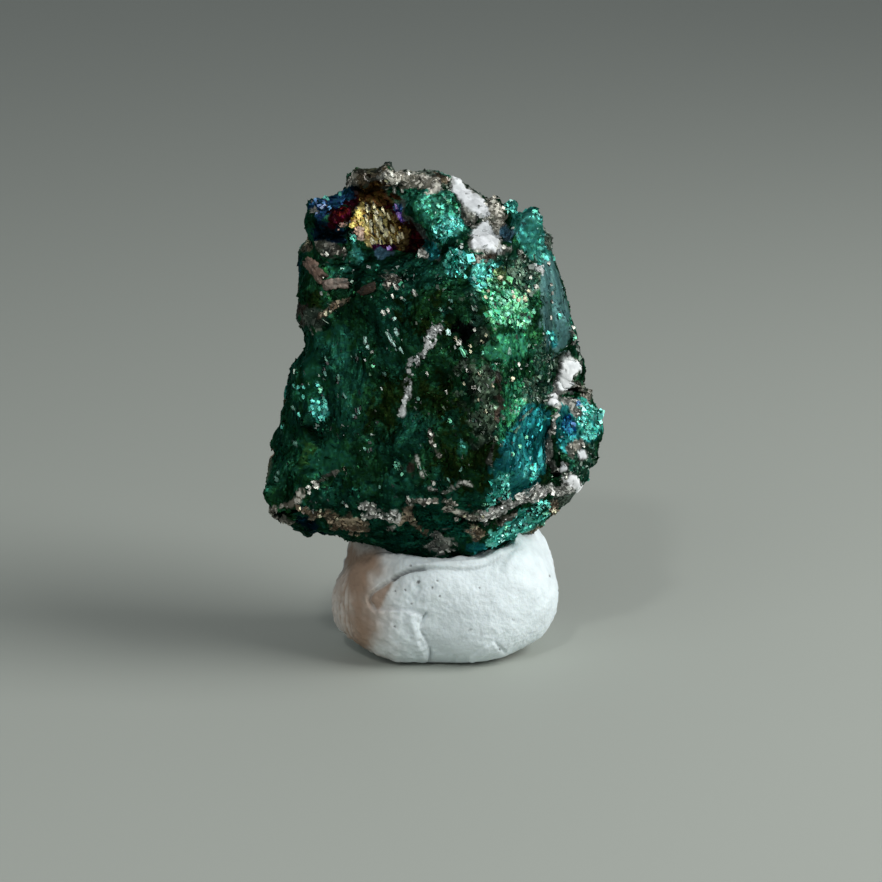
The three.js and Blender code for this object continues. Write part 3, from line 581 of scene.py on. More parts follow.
# Single crystals that flash, by colour: where they show, their length and width, and how many degrees they
# lean to the left of upright.
SHOWN_GLINTS = {
    "white": (
        srgb(225, 228, 215),
        [
            (383, 313, 5, 5, -50), (459, 343, 6, 6, 0), (474, 389, 6, 5, -40), (468, 372, 5, 3, 40),
            (518, 365, 3, 3, 0), (427, 374, 4, 3, 0), (414, 293, 8, 3, 30), (430, 435, 5, 3, -20),
            (434, 446, 3, 3, 0), (433, 483, 4, 3, 20), (308, 488, 5, 4, 0), (316, 487, 5, 5, -40),
            (313, 482, 3, 3, 0), (309, 493, 3, 3, 0), (373, 506, 5, 5, 0), (372, 512, 3, 3, 0),
            (364, 519, 4, 3, 40), (362, 515, 3, 2, 0), (326, 254, 4, 3, 0), (322, 277, 4, 3, 20),
            (408, 170, 4, 4, 0), (391, 175, 6, 3, 30), (530, 278, 3, 3, 0), (536, 287, 4, 3, 0),
            (512, 292, 3, 3, 0), (573, 328, 3, 3, 0), (513, 228, 3, 3, 0), (503, 248, 5, 4, -60),
            (521, 253, 5, 3, 60), (583, 446, 5, 3, 20), (346, 506, 3, 2, 0), (408, 499, 5, 4, 0),
            (419, 255, 4, 3, 30), (394, 190, 9, 3, 10), (396, 184, 5, 3, 0), (402, 191, 3, 2, 30),
            (551, 285, 2, 1, 0), (552, 293, 2, 1, 0), (552, 302, 2, 1, 0), (551, 318, 3, 1, 0),
            (388, 311, 4, 3, 0), (372, 352, 3, 2, 0), (395, 287, 7, 2, 30), (566, 478, 3, 2, 0),
            (474, 330, 3, 2, 0), (548, 264, 3, 2, 0), (401, 299, 3, 2, 0), (392, 296, 3, 2, 0),
            (446, 392, 3, 2, 0),
        ],
    ),
    "cream": (
        srgb(226, 222, 188),
        [
            (455, 339, 5, 3, 60), (512, 379, 4, 3, 0), (482, 341, 3, 3, 0), (344, 470, 4, 3, 0),
            (300, 509, 3, 3, 0), (320, 516, 4, 3, 0), (337, 519, 3, 3, 0), (320, 511, 3, 2, 0),
            (464, 516, 3, 3, 0), (483, 517, 3, 3, 0), (414, 519, 3, 3, 0), (325, 314, 3, 3, 30),
            (329, 311, 3, 3, 0), (525, 298, 6, 5, 0), (519, 300, 4, 4, 0), (500, 278, 5, 4, 30),
            (553, 511, 7, 5, 0), (304, 237, 4, 3, 30), (306, 244, 3, 3, 0), (380, 222, 9, 4, 20),
            (386, 231, 5, 5, 0), (393, 230, 5, 3, 20), (367, 209, 7, 3, 0), (372, 242, 4, 3, 40),
            (384, 236, 4, 3, 0), (371, 223, 6, 2, 20), (376, 213, 5, 3, 20), (400, 236, 5, 2, 20),
            (488, 290, 3, 2, 0), (514, 297, 3, 2, 0), (485, 298, 3, 3, 0), (528, 291, 3, 2, 0),
            (486, 336, 3, 2, 0), (470, 352, 3, 2, 0), (480, 374, 3, 2, 0), (492, 386, 3, 2, 0),
            (478, 400, 2, 2, 0), (486, 412, 3, 2, 0), (464, 384, 2, 2, 0), (470, 346, 3, 2, 0),
        ],
    ),
    "gold": (
        srgb(250, 226, 130),
        [
            (359, 215, 13, 8, 8), (352, 225, 6, 8, 30), (361, 224, 6, 4, 20), (366, 232, 7, 3, 20),
        ],
    ),
    "pale gold": (
        srgb(252, 242, 196),
        [
            (367, 210, 9, 4, 10), (376, 219, 12, 3, 15), (381, 227, 12, 4, 18), (386, 234, 11, 5, 10),
            (392, 230, 9, 3, 15), (373, 241, 7, 3, 40), (371, 230, 10, 2, 15), (388, 216, 8, 2, 20),
            (398, 240, 8, 2, 10), (380, 241, 6, 2, 0), (366, 220, 9, 2, 10), (377, 234, 8, 2, 10),
            (383, 212, 8, 2, 15), (374, 208, 7, 2, 12), (402, 236, 8, 2, 12), (391, 241, 6, 2, 10),
        ],
    ),
    "peach": (
        srgb(244, 204, 180),
        [(360, 234, 8, 6, 20), (340, 227, 3, 8, 60), (356, 229, 4, 5, 0), (363, 229, 4, 3, 0)],
    ),
    "mint": (
        srgb(140, 232, 190),
        [
            (463, 352, 13, 5, 35), (449, 421, 5, 5, 40), (396, 466, 8, 7, 40), (401, 474, 3, 3, 30),
            (482, 353, 3, 3, 0), (526, 437, 3, 3, 0), (519, 447, 4, 3, 0), (513, 454, 3, 3, 0),
            (320, 390, 4, 5, -80), (507, 314, 6, 6, 0), (512, 310, 5, 4, 0), (528, 322, 6, 5, 0),
            (520, 326, 4, 3, 0), (500, 322, 4, 4, 0), (492, 303, 5, 3, 60), (490, 312, 4, 3, 0),
            (498, 298, 5, 4, 0), (505, 304, 4, 3, 30), (575, 338, 5, 5, 20), (506, 528, 5, 5, 0),
            (545, 513, 3, 8, 0), (438, 206, 4, 3, 0), (447, 202, 3, 3, 0), (487, 505, 4, 9, 0),
            (373, 366, 3, 3, 20), (533, 312, 4, 3, 0), (497, 287, 3, 3, 0), (507, 292, 3, 3, 0),
            (493, 294, 3, 2, 0), (502, 300, 3, 3, 0), (489, 285, 4, 3, 0), (503, 283, 3, 3, 0),
        ],
    ),
    "cyan": (
        srgb(116, 228, 206),
        [
            (294, 386, 4, 3, 0), (298, 388, 4, 3, 0), (303, 387, 4, 3, 0), (303, 397, 4, 3, 0),
            (317, 385, 4, 5, 0), (312, 401, 4, 3, 0), (312, 408, 4, 3, 0), (313, 413, 4, 3, 0),
            (318, 402, 4, 3, 0), (319, 409, 4, 3, 0), (324, 404, 12, 6, 20), (320, 417, 3, 5, 0),
            (299, 415, 5, 2, 30), (282, 427, 3, 3, 0), (531, 468, 6, 5, 0), (533, 474, 4, 4, 0),
            (502, 485, 6, 3, -30), (507, 496, 9, 3, -30), (352, 237, 7, 6, -40), (461, 228, 5, 4, 0),
            (458, 221, 4, 3, 0), (534, 212, 4, 6, 0), (507, 205, 4, 4, 0), (512, 212, 5, 3, 0),
            (456, 267, 6, 8, 0), (448, 257, 6, 4, 30), (483, 284, 4, 10, 0), (474, 274, 5, 4, 0),
            (490, 270, 5, 4, 0), (465, 277, 5, 4, 30), (548, 333, 4, 4, 30), (559, 316, 6, 3, 10),
            (588, 427, 6, 6, 0), (597, 426, 5, 4, 30), (592, 438, 3, 6, 0), (583, 419, 4, 4, 0),
            (533, 510, 6, 8, 0), (540, 503, 5, 7, 0), (548, 506, 4, 4, 0), (322, 194, 5, 3, -40),
            (338, 191, 5, 3, 0), (354, 240, 6, 3, 20), (552, 339, 4, 3, 0), (446, 262, 5, 3, 0),
            (512, 530, 4, 4, 0), (538, 508, 10, 9, 0), (530, 514, 7, 6, 0), (546, 503, 5, 6, 0),
            (520, 524, 6, 5, 0), (506, 534, 4, 8, 0), (503, 497, 5, 5, 0), (494, 500, 4, 4, 0),
            (463, 447, 2, 5, 0), (461, 442, 3, 2, 0), (433, 228, 5, 3, 0),
        ],
    ),
    "pale cyan": (
        srgb(196, 240, 226),
        [
            (391, 341, 20, 3, 30), (396, 332, 8, 4, 30), (394, 319, 2, 5, 30), (365, 340, 8, 3, 0),
            (448, 332, 6, 5, 30), (368, 347, 4, 3, 0), (401, 350, 5, 2, 30),
        ],
    ),
    "dim": (
        srgb(96, 140, 124),
        [
            (358, 411, 8, 3, 0), (353, 416, 3, 4, 0), (376, 423, 2, 3, 0), (295, 443, 6, 4, 20),
            (278, 473, 4, 3, 0), (276, 479, 4, 3, 0), (364, 449, 3, 3, 0), (369, 451, 3, 3, 0),
            (380, 487, 3, 3, 0), (343, 503, 3, 2, 0), (293, 408, 5, 2, 30), (526, 415, 16, 2, -45),
            (517, 430, 10, 2, -40), (418, 399, 3, 3, 0), (384, 374, 3, 4, 0), (475, 310, 4, 3, 0),
            (356, 358, 6, 2, 0), (338, 378, 6, 2, 0), (326, 360, 7, 2, 20), (324, 372, 7, 2, 20),
            (344, 396, 5, 2, 30), (450, 300, 5, 3, 30), (440, 310, 4, 3, 0), (404, 300, 3, 3, 0),
            (420, 468, 5, 2, 30), (460, 470, 5, 2, -40), (448, 480, 5, 2, 40), (474, 420, 4, 3, 0),
        ],
    ),
    "blue": (
        srgb(104, 156, 204),
        [
            (315, 201, 5, 4, 30), (329, 208, 4, 4, 0), (578, 404, 5, 5, 0), (324, 204, 6, 4, 20),
            (573, 424, 5, 4, 0),
        ],
    ),
    "violet": (
        srgb(206, 170, 252),
        [(399, 216, 8, 4, 20), (402, 220, 4, 3, 20), (396, 207, 5, 2, 20), (388, 248, 3, 4, 0)],
    ),
}
# Long grains of a duller mineral: where they show, length, width, lean as above, and colour.
SHOWN_LONG_GRAINS = [
    ((313, 268), 26, 12, 44, srgb(112, 90, 78)),
    ((336, 284), 25, 12, -78, srgb(136, 120, 110)),
    ((367, 290), 21, 9, -62, srgb(58, 40, 30)),
]
# fmt: on

FAR = 40  # pixels: distances beyond this aren't measured


def rounded(points, closed):
    """The points of a line or a closed outline with its corners cut off twice."""
    points = np.array(points, float)
    for _ in range(2):
        after = np.roll(points, -1, axis=0)
        cut = np.stack([0.75 * points + 0.25 * after, 0.25 * points + 0.75 * after], 1)
        if closed:
            points = cut.reshape(-1, 2)
        else:
            points = np.concatenate([points[:1], cut[:-1].reshape(-1, 2), points[-1:]])
    return points


def measured_near(distance_to):
    """Lets a distance be measured only for the points near the shape: the others are FAR pixels away."""

    def measure(pixels, shape, *rest):
        low, high = np.min(shape, axis=0) - FAR, np.max(shape, axis=0) + FAR
        near = ((pixels > low) & (pixels < high)).all(1)
        distance = np.full(len(pixels), float(FAR))
        distance[near] = distance_to(pixels[near], shape, *rest)
        return distance

    return measure


@measured_near
def outline_distance(pixels, outline):
    """Pixels from a closed outline, negative inside."""
    corners = rounded(outline, True)
    inside = np.zeros(len(pixels), bool)
    nearest = np.full(len(pixels), np.inf)
    for start, end in zip(corners, np.roll(corners, -1, axis=0)):
        along = end - start
        offset = pixels - start
        share = np.clip(offset @ along / (along @ along), 0, 1)
        nearest = np.minimum(nearest, np.linalg.norm(offset - share[:, None] * along, axis=1))
        spans = (start[1] > pixels[:, 1]) != (end[1] > pixels[:, 1])
        slope = along[0] / along[1] if along[1] else 0.0
        inside ^= spans & (pixels[:, 0] < start[0] + (pixels[:, 1] - start[1]) * slope)
    return np.where(inside, -nearest, nearest)


@measured_near
def line_distance(pixels, line, half_widths):
    """Pixels outside a line whose half width runs from the first of half_widths to the second."""
    line = rounded(line, False)
    nearest = np.full(len(pixels), np.inf)
    widths = np.linspace(half_widths[0], half_widths[1], len(line))
    for n in range(len(line) - 1):
        start, end = line[n], line[n + 1]
        along = end - start
        offset = pixels - start
        share = np.clip(offset @ along / (along @ along), 0, 1)
        width = widths[n] + share * (widths[n + 1] - widths[n])
        nearest = np.minimum(nearest, np.linalg.norm(offset - share[:, None] * along, axis=1) - width)
    return nearest


def in_front_half(points):
    """1 on the side of the ore that the camera sees, 0 on the far side, and a blend between."""
    return ramp((points - ORE_MIDDLE) @ TO_CAMERA, -3.0, -1.0)


def ahead(own):
    """How far points, measured from the ore's middle, lie in front of where its hidden sides start."""
    return own @ TO_CAMERA + 0.15 * own[:, 0]


class Paint:
    """The finish of each point, laid on in coats."""

    def __init__(self, count, first):
        self.layers = {name: np.tile(row, (count, 1)) for name, row in first.layers.items()}

    def coat(self, finish, share):
        """Lays a finish on, as thick at each point as its share from 0 to 1."""
        for name, row in finish.layers.items():
            self.layers[name] += share[:, None] * (row - self.layers[name])


HIDDEN_SEAM_DROP = 9.5  # mm below the ore's middle
HIDDEN_VEIN_RIGHT = 1.5  # mm to the right of it


def hidden_markings(paint, points, own, grain, behind):
    """Paints the sides that the photograph doesn't show. Returns how far the markings stand up, in mm.

    own is points measured from the ore's middle, and behind is 1 where a point is on a hidden side."""
    patchy = smooth_noise(points, 3.6, 3) + 0.6 * smooth_noise(points, 1.5, 4)
    ragged = 0.6 * smooth_noise(points, 0.9, 12) + 0.4 * smooth_noise(points, 0.4, 13)
    uneven = 0.35 * patchy + 0.25 * ragged
    swells = []
    for channel, size in enumerate((4.2, 4.6, 5.2, 6.0, 3.8), 70):
        swells.append(smooth_noise(points, size, channel) + uneven)
    crumbs = smooth_noise(points, 0.22, 16)

    def coat(finish, share):
        paint.coat(finish, behind * ramp(share - grain, -0.15, 0.15) * (share > 0))

    coat(TEAL_SOFT, ramp(patchy + 0.4 * ragged, -0.2, 0.8))
    coat(SLATE, 0.8 * ramp(swells[3], 0.4, 0.9))
    coat(TEAL, ramp(swells[0], 0.3, 0.8))
    coat(BLUE, ramp(-swells[0], 0.6, 0.9))
    coat(DARK_RED, ramp(swells[1], 0.5, 0.75))
    coat(RUST_GOLD, ramp(swells[1] + 0.5 * swells[4], 0.75, 0.95))
    coat(DULL_GOLD_AND_SHADE, ramp(swells[1] + 0.5 * swells[4], 0.95, 1.15))
    coat(CYAN, ramp(swells[2], 0.55, 0.95))
    coat(BROWN, ramp(-swells[2], 0.5, 0.9))
    coat(SPARKLY_DARK, ramp(-swells[4], 0.3, 0.8))
    right, up = own[:, 0], own[:, 2]
    from_seam = np.abs(up + HIDDEN_SEAM_DROP + 1.4 * patchy + 0.25 * right) + 0.5 * ragged + 0.2 * crumbs
    seam = ramp(from_seam, 0.7, 0.5)
    from_vein = np.abs(right - HIDDEN_VEIN_RIGHT + 0.35 * up + 1.2 * patchy) + 0.4 * ragged + 0.2 * crumbs
    vein = ramp(from_vein, 0.4, 0.2)
    vein *= ramp(np.abs(up - 2.0), 7.0, 5.5) * ramp(smooth_noise(points, 1.2, 21), -0.4, -0.2)
    lumps = smooth_noise(points, 4.4, 9) + 0.3 * patchy + 0.3 * ragged + 0.1 * crumbs
    paint.coat(SEAM, behind * seam)
    paint.coat(PALE_BEADS, behind * np.maximum(vein, ramp(lumps, 0.7, 0.76)))
    paint.coat(QUARTZ, behind * ramp(lumps, 0.8, 0.84))
    return behind * np.maximum(0.15 * seam, 0.12 * np.maximum(vein, ramp(lumps, 0.7, 0.9)))


def ore_markings(points, normals, grain):
    """The paint of each point of the ore's skin, and how far its seams, veins and quartz stand up, in mm.

    grain is a number from 0 to 1 for each point's grain, so that a soft edge is speckled grain by grain."""
    paint = Paint(len(points), DARK_GREEN)
    own = points - ORE_MIDDLE
    drift = smooth_noise(points, 3.4, 1) + 0.6 * smooth_noise(points, 1.6, 2)
    behind = ramp(ahead(own), 0.5, -2.5)
    lit_side = normals @ np.array([0.8, -0.1, 0.5])
    paint.coat(DARK_TEAL, ramp(drift, 0.1, 0.6))
    # Painted light: the sides that face the key lamp get more of the lighter teal.
    paint.coat(TEAL, 0.7 * ramp(drift + 0.8 * lit_side, 0.8, 1.4))
    paint.coat(MOSS, 0.7 * ramp(-drift, 0.5, 0.9))
    rise = hidden_markings(paint, points, own, grain, behind)

    in_front = 1 - behind
    pixels = photo_pixels(points)
    wave = smooth_noise(points, 1.3, 14)
    ragged = 0.6 * smooth_noise(points, 0.8, 12) + 0.4 * smooth_noise(points, 0.4, 13)
    for finish, softness, waviness, outline in SHOWN_PATCHES.values():
        distance = outline_distance(pixels, outline) + 1.5 * waviness * (0.6 * wave + ragged)
        share = ramp(distance, 0.7 * softness, -0.7 * softness)
        paint.coat(finish, in_front * ramp(share - grain, -0.15, 0.15) * (share > 0))
    crumbs = smooth_noise(points, 0.22, 16)
    in_front *= ramp(normals @ TO_CAMERA, -0.25, 0.0)
    for finish, height, outline in SHOWN_CHIPS.values():
        distance = outline_distance(pixels, outline) + 4.0 * ragged + 2.0 * crumbs
        share = in_front * ramp(distance, 0.8, -0.8)
        if finish is VEIN:
            share *= ramp(smooth_noise(points, 0.45, 19) + 0.5 * crumbs, -0.5, -0.3)
        else:
            paint.coat(GREY, in_front * ramp(distance, 3.5, 1.5) * ramp(crumbs + 0.5 * ragged, -0.2, 0.0))
        paint.coat(finish, share)
        if finish in (QUARTZ, PAINTED_LIGHT_QUARTZ):
            paint.coat(GREY, share * ramp(crumbs + 0.8 * ragged, 0.75, 0.95))
        rise += height * share
    for finish, height, half_widths, line in SHOWN_LINES.values():
        wander = min(7.0, 1.0 + 1.2 * sum(half_widths))  # thin lines stay in one piece
        distance = line_distance(pixels, line, half_widths) + wander * (ragged + 0.4 * crumbs)
        share = in_front * ramp(distance, 0.8, -0.8)
        if finish is not SHADE_BLACK:
            share *= ramp(smooth_noise(points, 0.6, 17) + 0.3 * crumbs, -0.8, -0.6)
        paint.coat(finish, share)
        rise += height * share
    return paint, rise


# ---- The ore's skin ----

GRAIN_STRETCH = np.array([1.0, 1.0, 1.3])
STREAK_LENGTH = 3.5  # a drawn-out grain's length over its width
COARSE_GRAINS = [(2.0, 0.42, 30), (1.0, 0.25, 40)]  # size, height and noise channel
FINE_GRAINS = [(0.5, 0.17, 50), (0.28, 0.1, 60)]
LEVEL = 0.38  # where a grain's face is level with the surface, in grain spacings from its middle
# The gaps between grains are painted darker: painted shade.
GAP_EDGES = (0.46, 0.62)  # a gap between grains starts and is deepest here


class Relief:
    """The grains at some points: how high each point is, how deep in a gap (which is painted darker, as
    painted shade), and its grain's own numbers.
    """

    def __init__(self, points):
        lows, gaps, numbers = [], [], []
        for size, tall, channel in COARSE_GRAINS + FINE_GRAINS:
            near, own = grains(points, size, channel)
            lows.append(-tall * (near - LEVEL))
            gaps.append(min(1.0, size) * ramp(near, *GAP_EDGES))
            numbers.append(own)
        self.coarse = sum(lows[: len(COARSE_GRAINS)])
        self.fine = sum(lows[len(COARSE_GRAINS) :])
        self.gap = np.maximum.reduce(gaps[:3])
        self.lump, self.block, self.grain = numbers[:3]

    def draw_out(self, points, pixels, facing):
        """Draws the grains out inside SHOWN_STREAKS. Returns each point's share of streak times its way."""
        streaks = np.zeros((len(points), 3))
        for way, outline in SHOWN_STREAKS.values():
            direction = way[0] * TO_RIGHT + way[1] * TO_TOP
            direction /= np.linalg.norm(direction)
            share = facing * ramp(outline_distance(pixels, outline), 4.0, -4.0)
            inside = share > 0
            here = points[inside]
            drawn = Relief(here - (here @ direction)[:, None] * direction * (1 - 1 / STREAK_LENGTH))
            for name, row in vars(self).items():
                row[inside] += share[inside] * (vars(drawn)[name] - row[inside])
            streaks += share[:, None] * direction
        return streaks


def shaped_skin():
    """The ore's mesh in finer triangles, with the low swells, dents and flats."""
    skin = Skin("ore")
    for rounds in (2, 2, 1):
        skin.halve()
        skin.smooth(rounds)
    pixels = photo_pixels(skin.points)
    outward = skin.normals()
    for height, radius, middle in SHOWN_SWELLS.values():
        share = ramp(np.linalg.norm(pixels - middle, axis=1), radius, 0.2 * radius)
        share *= in_front_half(skin.points)
        skin.points = skin.points + outward * (height * share)[:, None]
    for give, way, outline in SHOWN_FLATS.values():
        share = ramp(outline_distance(pixels, outline), 3.0, -5.0)
        share *= in_front_half(skin.points)
        way = np.array(way) / np.linalg.norm(way)
        depth = skin.points @ way
        depth -= (share * depth).sum() / share.sum()
        skin.points = skin.points - give * (share * depth)[:, None] * way
    return skin


def make_ore_skin():
    """The ore's skin, its paint, each point's colour with painted shade in the gaps between grains, and the
    way its grains are drawn out.
    """
    skin = shaped_skin()
    normals = skin.normals()
    relief = Relief(skin.points / GRAIN_STRETCH)
    facing = ramp(normals @ TO_CAMERA, 0.0, 0.3)
    streaks = relief.draw_out(skin.points, photo_pixels(skin.points), facing)
    paint, rise = ore_markings(skin.points, normals, relief.grain)
    soft = paint.layers["crystals"][:, 3]
    height = relief.coarse * (1 - 0.5 * soft) + relief.fine * (1 - 0.95 * soft) + rise
    skin.points = skin.points + normals * height[:, None]
    tint, other = paint.layers["tint"], paint.layers["other"]
    tint = tint + (relief.block > 0.6)[:, None] * (other - tint)
    # Lightness differs at random from grain to grain, and painted shade darkens the gaps between grains
    # except on soft finishes.
    light = (0.8 + 0.4 * relief.block) * (0.85 + 0.3 * relief.lump) * (0.7 + 0.6 * relief.grain)
    light *= 1 - 0.6 * relief.gap * (1 - soft)
    light += (1 - light) * 0.8 * ramp(soft, 0.4, 0.9)
    return skin, paint, tint * light[:, None], streaks


# ---- Loose crystals on the skin ----

CHIP_CORNERS = np.array([[-1, -1, 0.4], [1, -1, 0.4], [1, 1, 0.4], [-1, 1, 0.4], [0, 0, -1.2]])
CHIP_TRIANGLES = np.array([[0, 1, 2], [0, 2, 3], [0, 4, 1], [1, 4, 2], [2, 4, 3], [3, 4, 0]])
KEY_WAY = np.array([0.81, -0.24, 0.53])
STREAK_SHAPE = np.array([0.75, 1.5, 0.75])
GLINT_SHARE = 0.2  # a flashing crystal has this much of its colour: the key light makes up for the rest
CLUSTER = 2.2  # neighbouring crystals within this size lean nearly the same way
CLUSTER_LEAN = 0.4  # how far they lean, as a slope
LOOSE_TURN = 0.16  # radians that each one turns on its own
LONGEST = 1.9  # times the size that its finish says
SUNK = 0.2  # of a crystal's length is in the skin
CLEAR = 0.4  # a ray towards the key light starts this far off the skin
GLINT_PIECE = 1.7  # pixels: a larger glint is made of pieces of about this size, most of them in its middle
GLINT_DEPTH = 2.0  # pixels
LONG_PIECE = (0.6, 1.6)  # the pieces of a long glint are this much narrower and longer
GRAIN_SPAN = 0.7  # of a long grain's length lies between the two places that its slope is read from
GRAIN_SLOPE = 0.6  # how steeply it may run away from the camera


def small_turns(count, spread, rng):
    """Random turns of about spread radians."""
    axis = rng.normal(0, spread, (count, 3))
    angle = np.linalg.norm(axis, axis=1)[:, None, None]
    x, y, z = (axis / np.maximum(angle[:, 0], 1e-9)).T
    none = np.zeros(count)
    cross = np.stack([none, -z, y, z, none, -x, -y, x, none], -1).reshape(-1, 3, 3)
    return np.eye(3) + np.sin(angle) * cross + (1 - np.cos(angle)) * cross @ cross


def frame_towards(face, along):
    """Turns whose third axis is face and whose second is along as nearly as it can be."""
    side = np.cross(along, face)
    side /= np.linalg.norm(side, axis=-1, keepdims=True)
    return np.stack([side, np.cross(face, side), np.broadcast_to(face, side.shape)], -1)


def glint_face():
    """The way a face looks that shows the key light to the camera."""
    middle = KEY_WAY + TO_CAMERA
    return middle / np.linalg.norm(middle)


def crystals(middles, turns, halves, rng):
    """Uneven crystals, one for each row, with a flat four-sided face outward: points and triangles."""
    corners = CHIP_CORNERS * (1 + rng.uniform(-0.4, 0.4, (len(middles), 5, 3)))
    corners[:, :4, 2] = CHIP_CORNERS[0, 2]
    points = middles[:, None] + np.einsum("nij,nkj->nki", turns, corners * halves[:, None])
    triangles = CHIP_TRIANGLES + len(CHIP_CORNERS) * np.arange(len(middles))[:, None, None]
    return points.reshape(-1, 3), triangles.reshape(-1, 3)


def shaded(tree, spot):
    """Whether the ore keeps the key light off a place."""
    return tree.ray_cast(Vector(spot + CLEAR * KEY_WAY), Vector(KEY_WAY))[0] is not None


def scatter(skin, cover, wanted, rng):
    """Random places in flocks on the triangles where wanted is true.

    Returns each place, the way out of the skin there, and a point of the skin beside it."""
    triangles = skin.triangles[wanted]
    across = skin.face_normals()[wanted]
    area = np.linalg.norm(across, axis=1) / 2
    flocks = ramp(smooth_noise(skin.points[triangles[:, 0]], 1.1, 18), -0.6, 0.6)
    expected = area * cover[triangles].mean(1) * (0.3 + 1.4 * flocks)
    count = int(expected.sum())
    picks = rng.choice(len(area), count, p=expected / expected.sum())
    shares = rng.dirichlet((1, 1, 1), count)
    places = np.einsum("nk,nkj->nj", shares, skin.points[triangles[picks]])
    return places, across[picks] / (2 * area[picks, None]), triangles[picks, 0]


def make_crystals(skin, tree, paint, streaks, wanted, seed, name, material):
    """The loose crystals on the skin's triangles where wanted is true, as one piece.

    tree casts rays at the skin, and streaks is the way in which its grains are drawn out at each point."""
    rng = np.random.default_rng(seed)
    size, cover, flash, _ = paint.layers["crystals"].T
    middles, outward, root = scatter(skin, cover, wanted, rng)
    count = len(middles)
    length = size[root] * np.minimum(rng.lognormal(0.0, 0.45, count), LONGEST)
    halves = length[:, None] * rng.uniform(0.4, 0.8, (count, 3))
    cluster = np.floor(middles / CLUSTER + 0.3 * rng.normal(size=(count, 3))).astype(np.int64)
    tilt = CUBE_TURNS[(lattice(cluster, 80) * len(CUBE_TURNS)).astype(int), :, 2]
    faces_out = outward + CLUSTER_LEAN * tilt
    faces_out /= np.linalg.norm(faces_out, axis=1, keepdims=True)
    flashing = (rng.random(count) < flash[root]) & (outward @ glint_face() > 0.2)
    flashing[flashing] = [not shaded(tree, spot) for spot in middles[flashing]]
    faces_out[flashing] = glint_face()
    along = CUBE_TURNS[rng.integers(0, len(CUBE_TURNS), count), :, 1]
    drawn = np.linalg.norm(streaks[root], axis=1)
    in_streak = drawn > 0.5
    along[in_streak] = streaks[root][in_streak] / drawn[in_streak, None]
    halves[in_streak] *= STREAK_SHAPE
    turns = frame_towards(faces_out, along) @ small_turns(count, LOOSE_TURN, rng)
    middles -= outward * (SUNK * length)[:, None]
    points, faces = crystals(middles, turns, halves, rng)

    tint, other = paint.layers["tint"][root], paint.layers["other"][root]
    colour = tint + (rng.random(count) > 0.55)[:, None] * (other - tint)
    glint = (colour + 0.3 * rng.random((count, 1)) ** 3) * rng.uniform(0.5, 2.4, (count, 1)) * GLINT_SHARE
    plain = colour * np.minimum(rng.lognormal(-0.1, 0.4, (count, 1)), 1.7)
    colour = np.where(flashing[:, None], glint, plain)
    finish = paint.layers["finish"][root].copy()
    finish[:, 1] *= rng.uniform(0.8, 1.2, count)
    finish[flashing, 0] = 1.0
    finish[flashing, 1] = rng.uniform(0.25, 0.4, flashing.sum())
    finish[:, 2] *= 0.12
    ride_ore(new_object(name, points, faces, material, crystal_layers(colour, finish)))


def crystal_layers(colour, finish):
    """Each crystal's colour and finish, for all of its corners."""
    return {
        "tint": np.repeat(colour, len(CHIP_CORNERS), axis=0),
        "finish": np.repeat(finish, len(CHIP_CORNERS), axis=0),
    }


def ride_ore(piece):
    """Fixes a piece to the ore."""
    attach(piece, "root")


def place_at(tree, pixel):
    """The point of the skin that the photograph shows at a pixel, and the way the skin looks there."""
    middle = photo_pixels(ORE_MIDDLE[None])[0]
    for inward in np.linspace(0, 0.2, 11):  # a place just off the outline moves in until it is on the ore
        towards = sight_line(pixel + inward * (middle - pixel))
        spot, normal, _, _ = tree.ray_cast(Vector(EYE), Vector(towards).normalized())
        if spot is not None:
            return np.array(spot), np.array(normal)
    raise ValueError(f"nothing of the ore shows at {pixel}")


def pixel_way(lean):
    """The way that leans to the left of upright by lean degrees, in pixels across and down the photograph."""
    tilt = math.radians(lean)
    return np.array([-math.sin(tilt), -math.cos(tilt)])


def leaning(lean):
    """The same way in the frame's directions."""
    across, down = pixel_way(lean)
    return across * TO_RIGHT - down * TO_TOP


def make_glints(tree, material):
    """The single crystals that flash in the key light. Where the ore keeps the key light off, they are matte
    in their glint's own colour instead: painted highlights.
    """
    rng = np.random.default_rng(5)
    pixels, halves, leans, tints = [], [], [], []
    for colour, glints in SHOWN_GLINTS.values():
        for x, y, length, width, lean in glints:
            count = math.ceil(length / GLINT_PIECE) * math.ceil(width / GLINT_PIECE)
            drawn = length > 2 * width
            shape = LONG_PIECE if drawn else (1.0, 1.0)
            along = pixel_way(lean)
            across = np.array([-along[1], along[0]])
            for forward, aside in rng.normal(0, 0.24, (count, 2)):
                pixels.append(np.array([x, y]) + along * forward * length + across * aside * width)
                halves.append([*(GLINT_PIECE * rng.uniform(0.4, 0.9, 2) * shape), GLINT_DEPTH])
                leans.append(lean + rng.normal(0, 8 if drawn else 120))
                # A piece's colour is strongest near its glint's middle: a painted falloff of the highlight.
                tints.append(colour * (1.5 - 2.4 * math.hypot(forward, aside)) * rng.uniform(0.7, 1.2))
    middles = np.array([place_at(tree, pixel)[0] for pixel in pixels]) + 0.04 * TO_CAMERA
    dark = np.array([shaded(tree, middle) for middle in middles])[:, None]
    faces_out = np.tile(glint_face(), (len(pixels), 1))
    aimed = frame_towards(faces_out, np.array([leaning(lean) for lean in leans]))
    turns = aimed @ small_turns(len(pixels), 0.03, rng)
    points, faces = crystals(middles, turns, np.array(halves) / PIXELS_PER_MM, rng)
    # Painted highlights: in shade a glint keeps its whole colour and is matte; in the key light it is metal
    # that reflects the lamp.
    tints = np.clip(np.where(dark, tints, GLINT_SHARE * np.array(tints)), 0.01, 1.0)
    finish = np.where(dark, [0.0, 0.5, 0.05], [1.0, 0.3, 0.05])
    ride_ore(new_object("glint_crystals", points, faces, material, crystal_layers(tints, finish)))


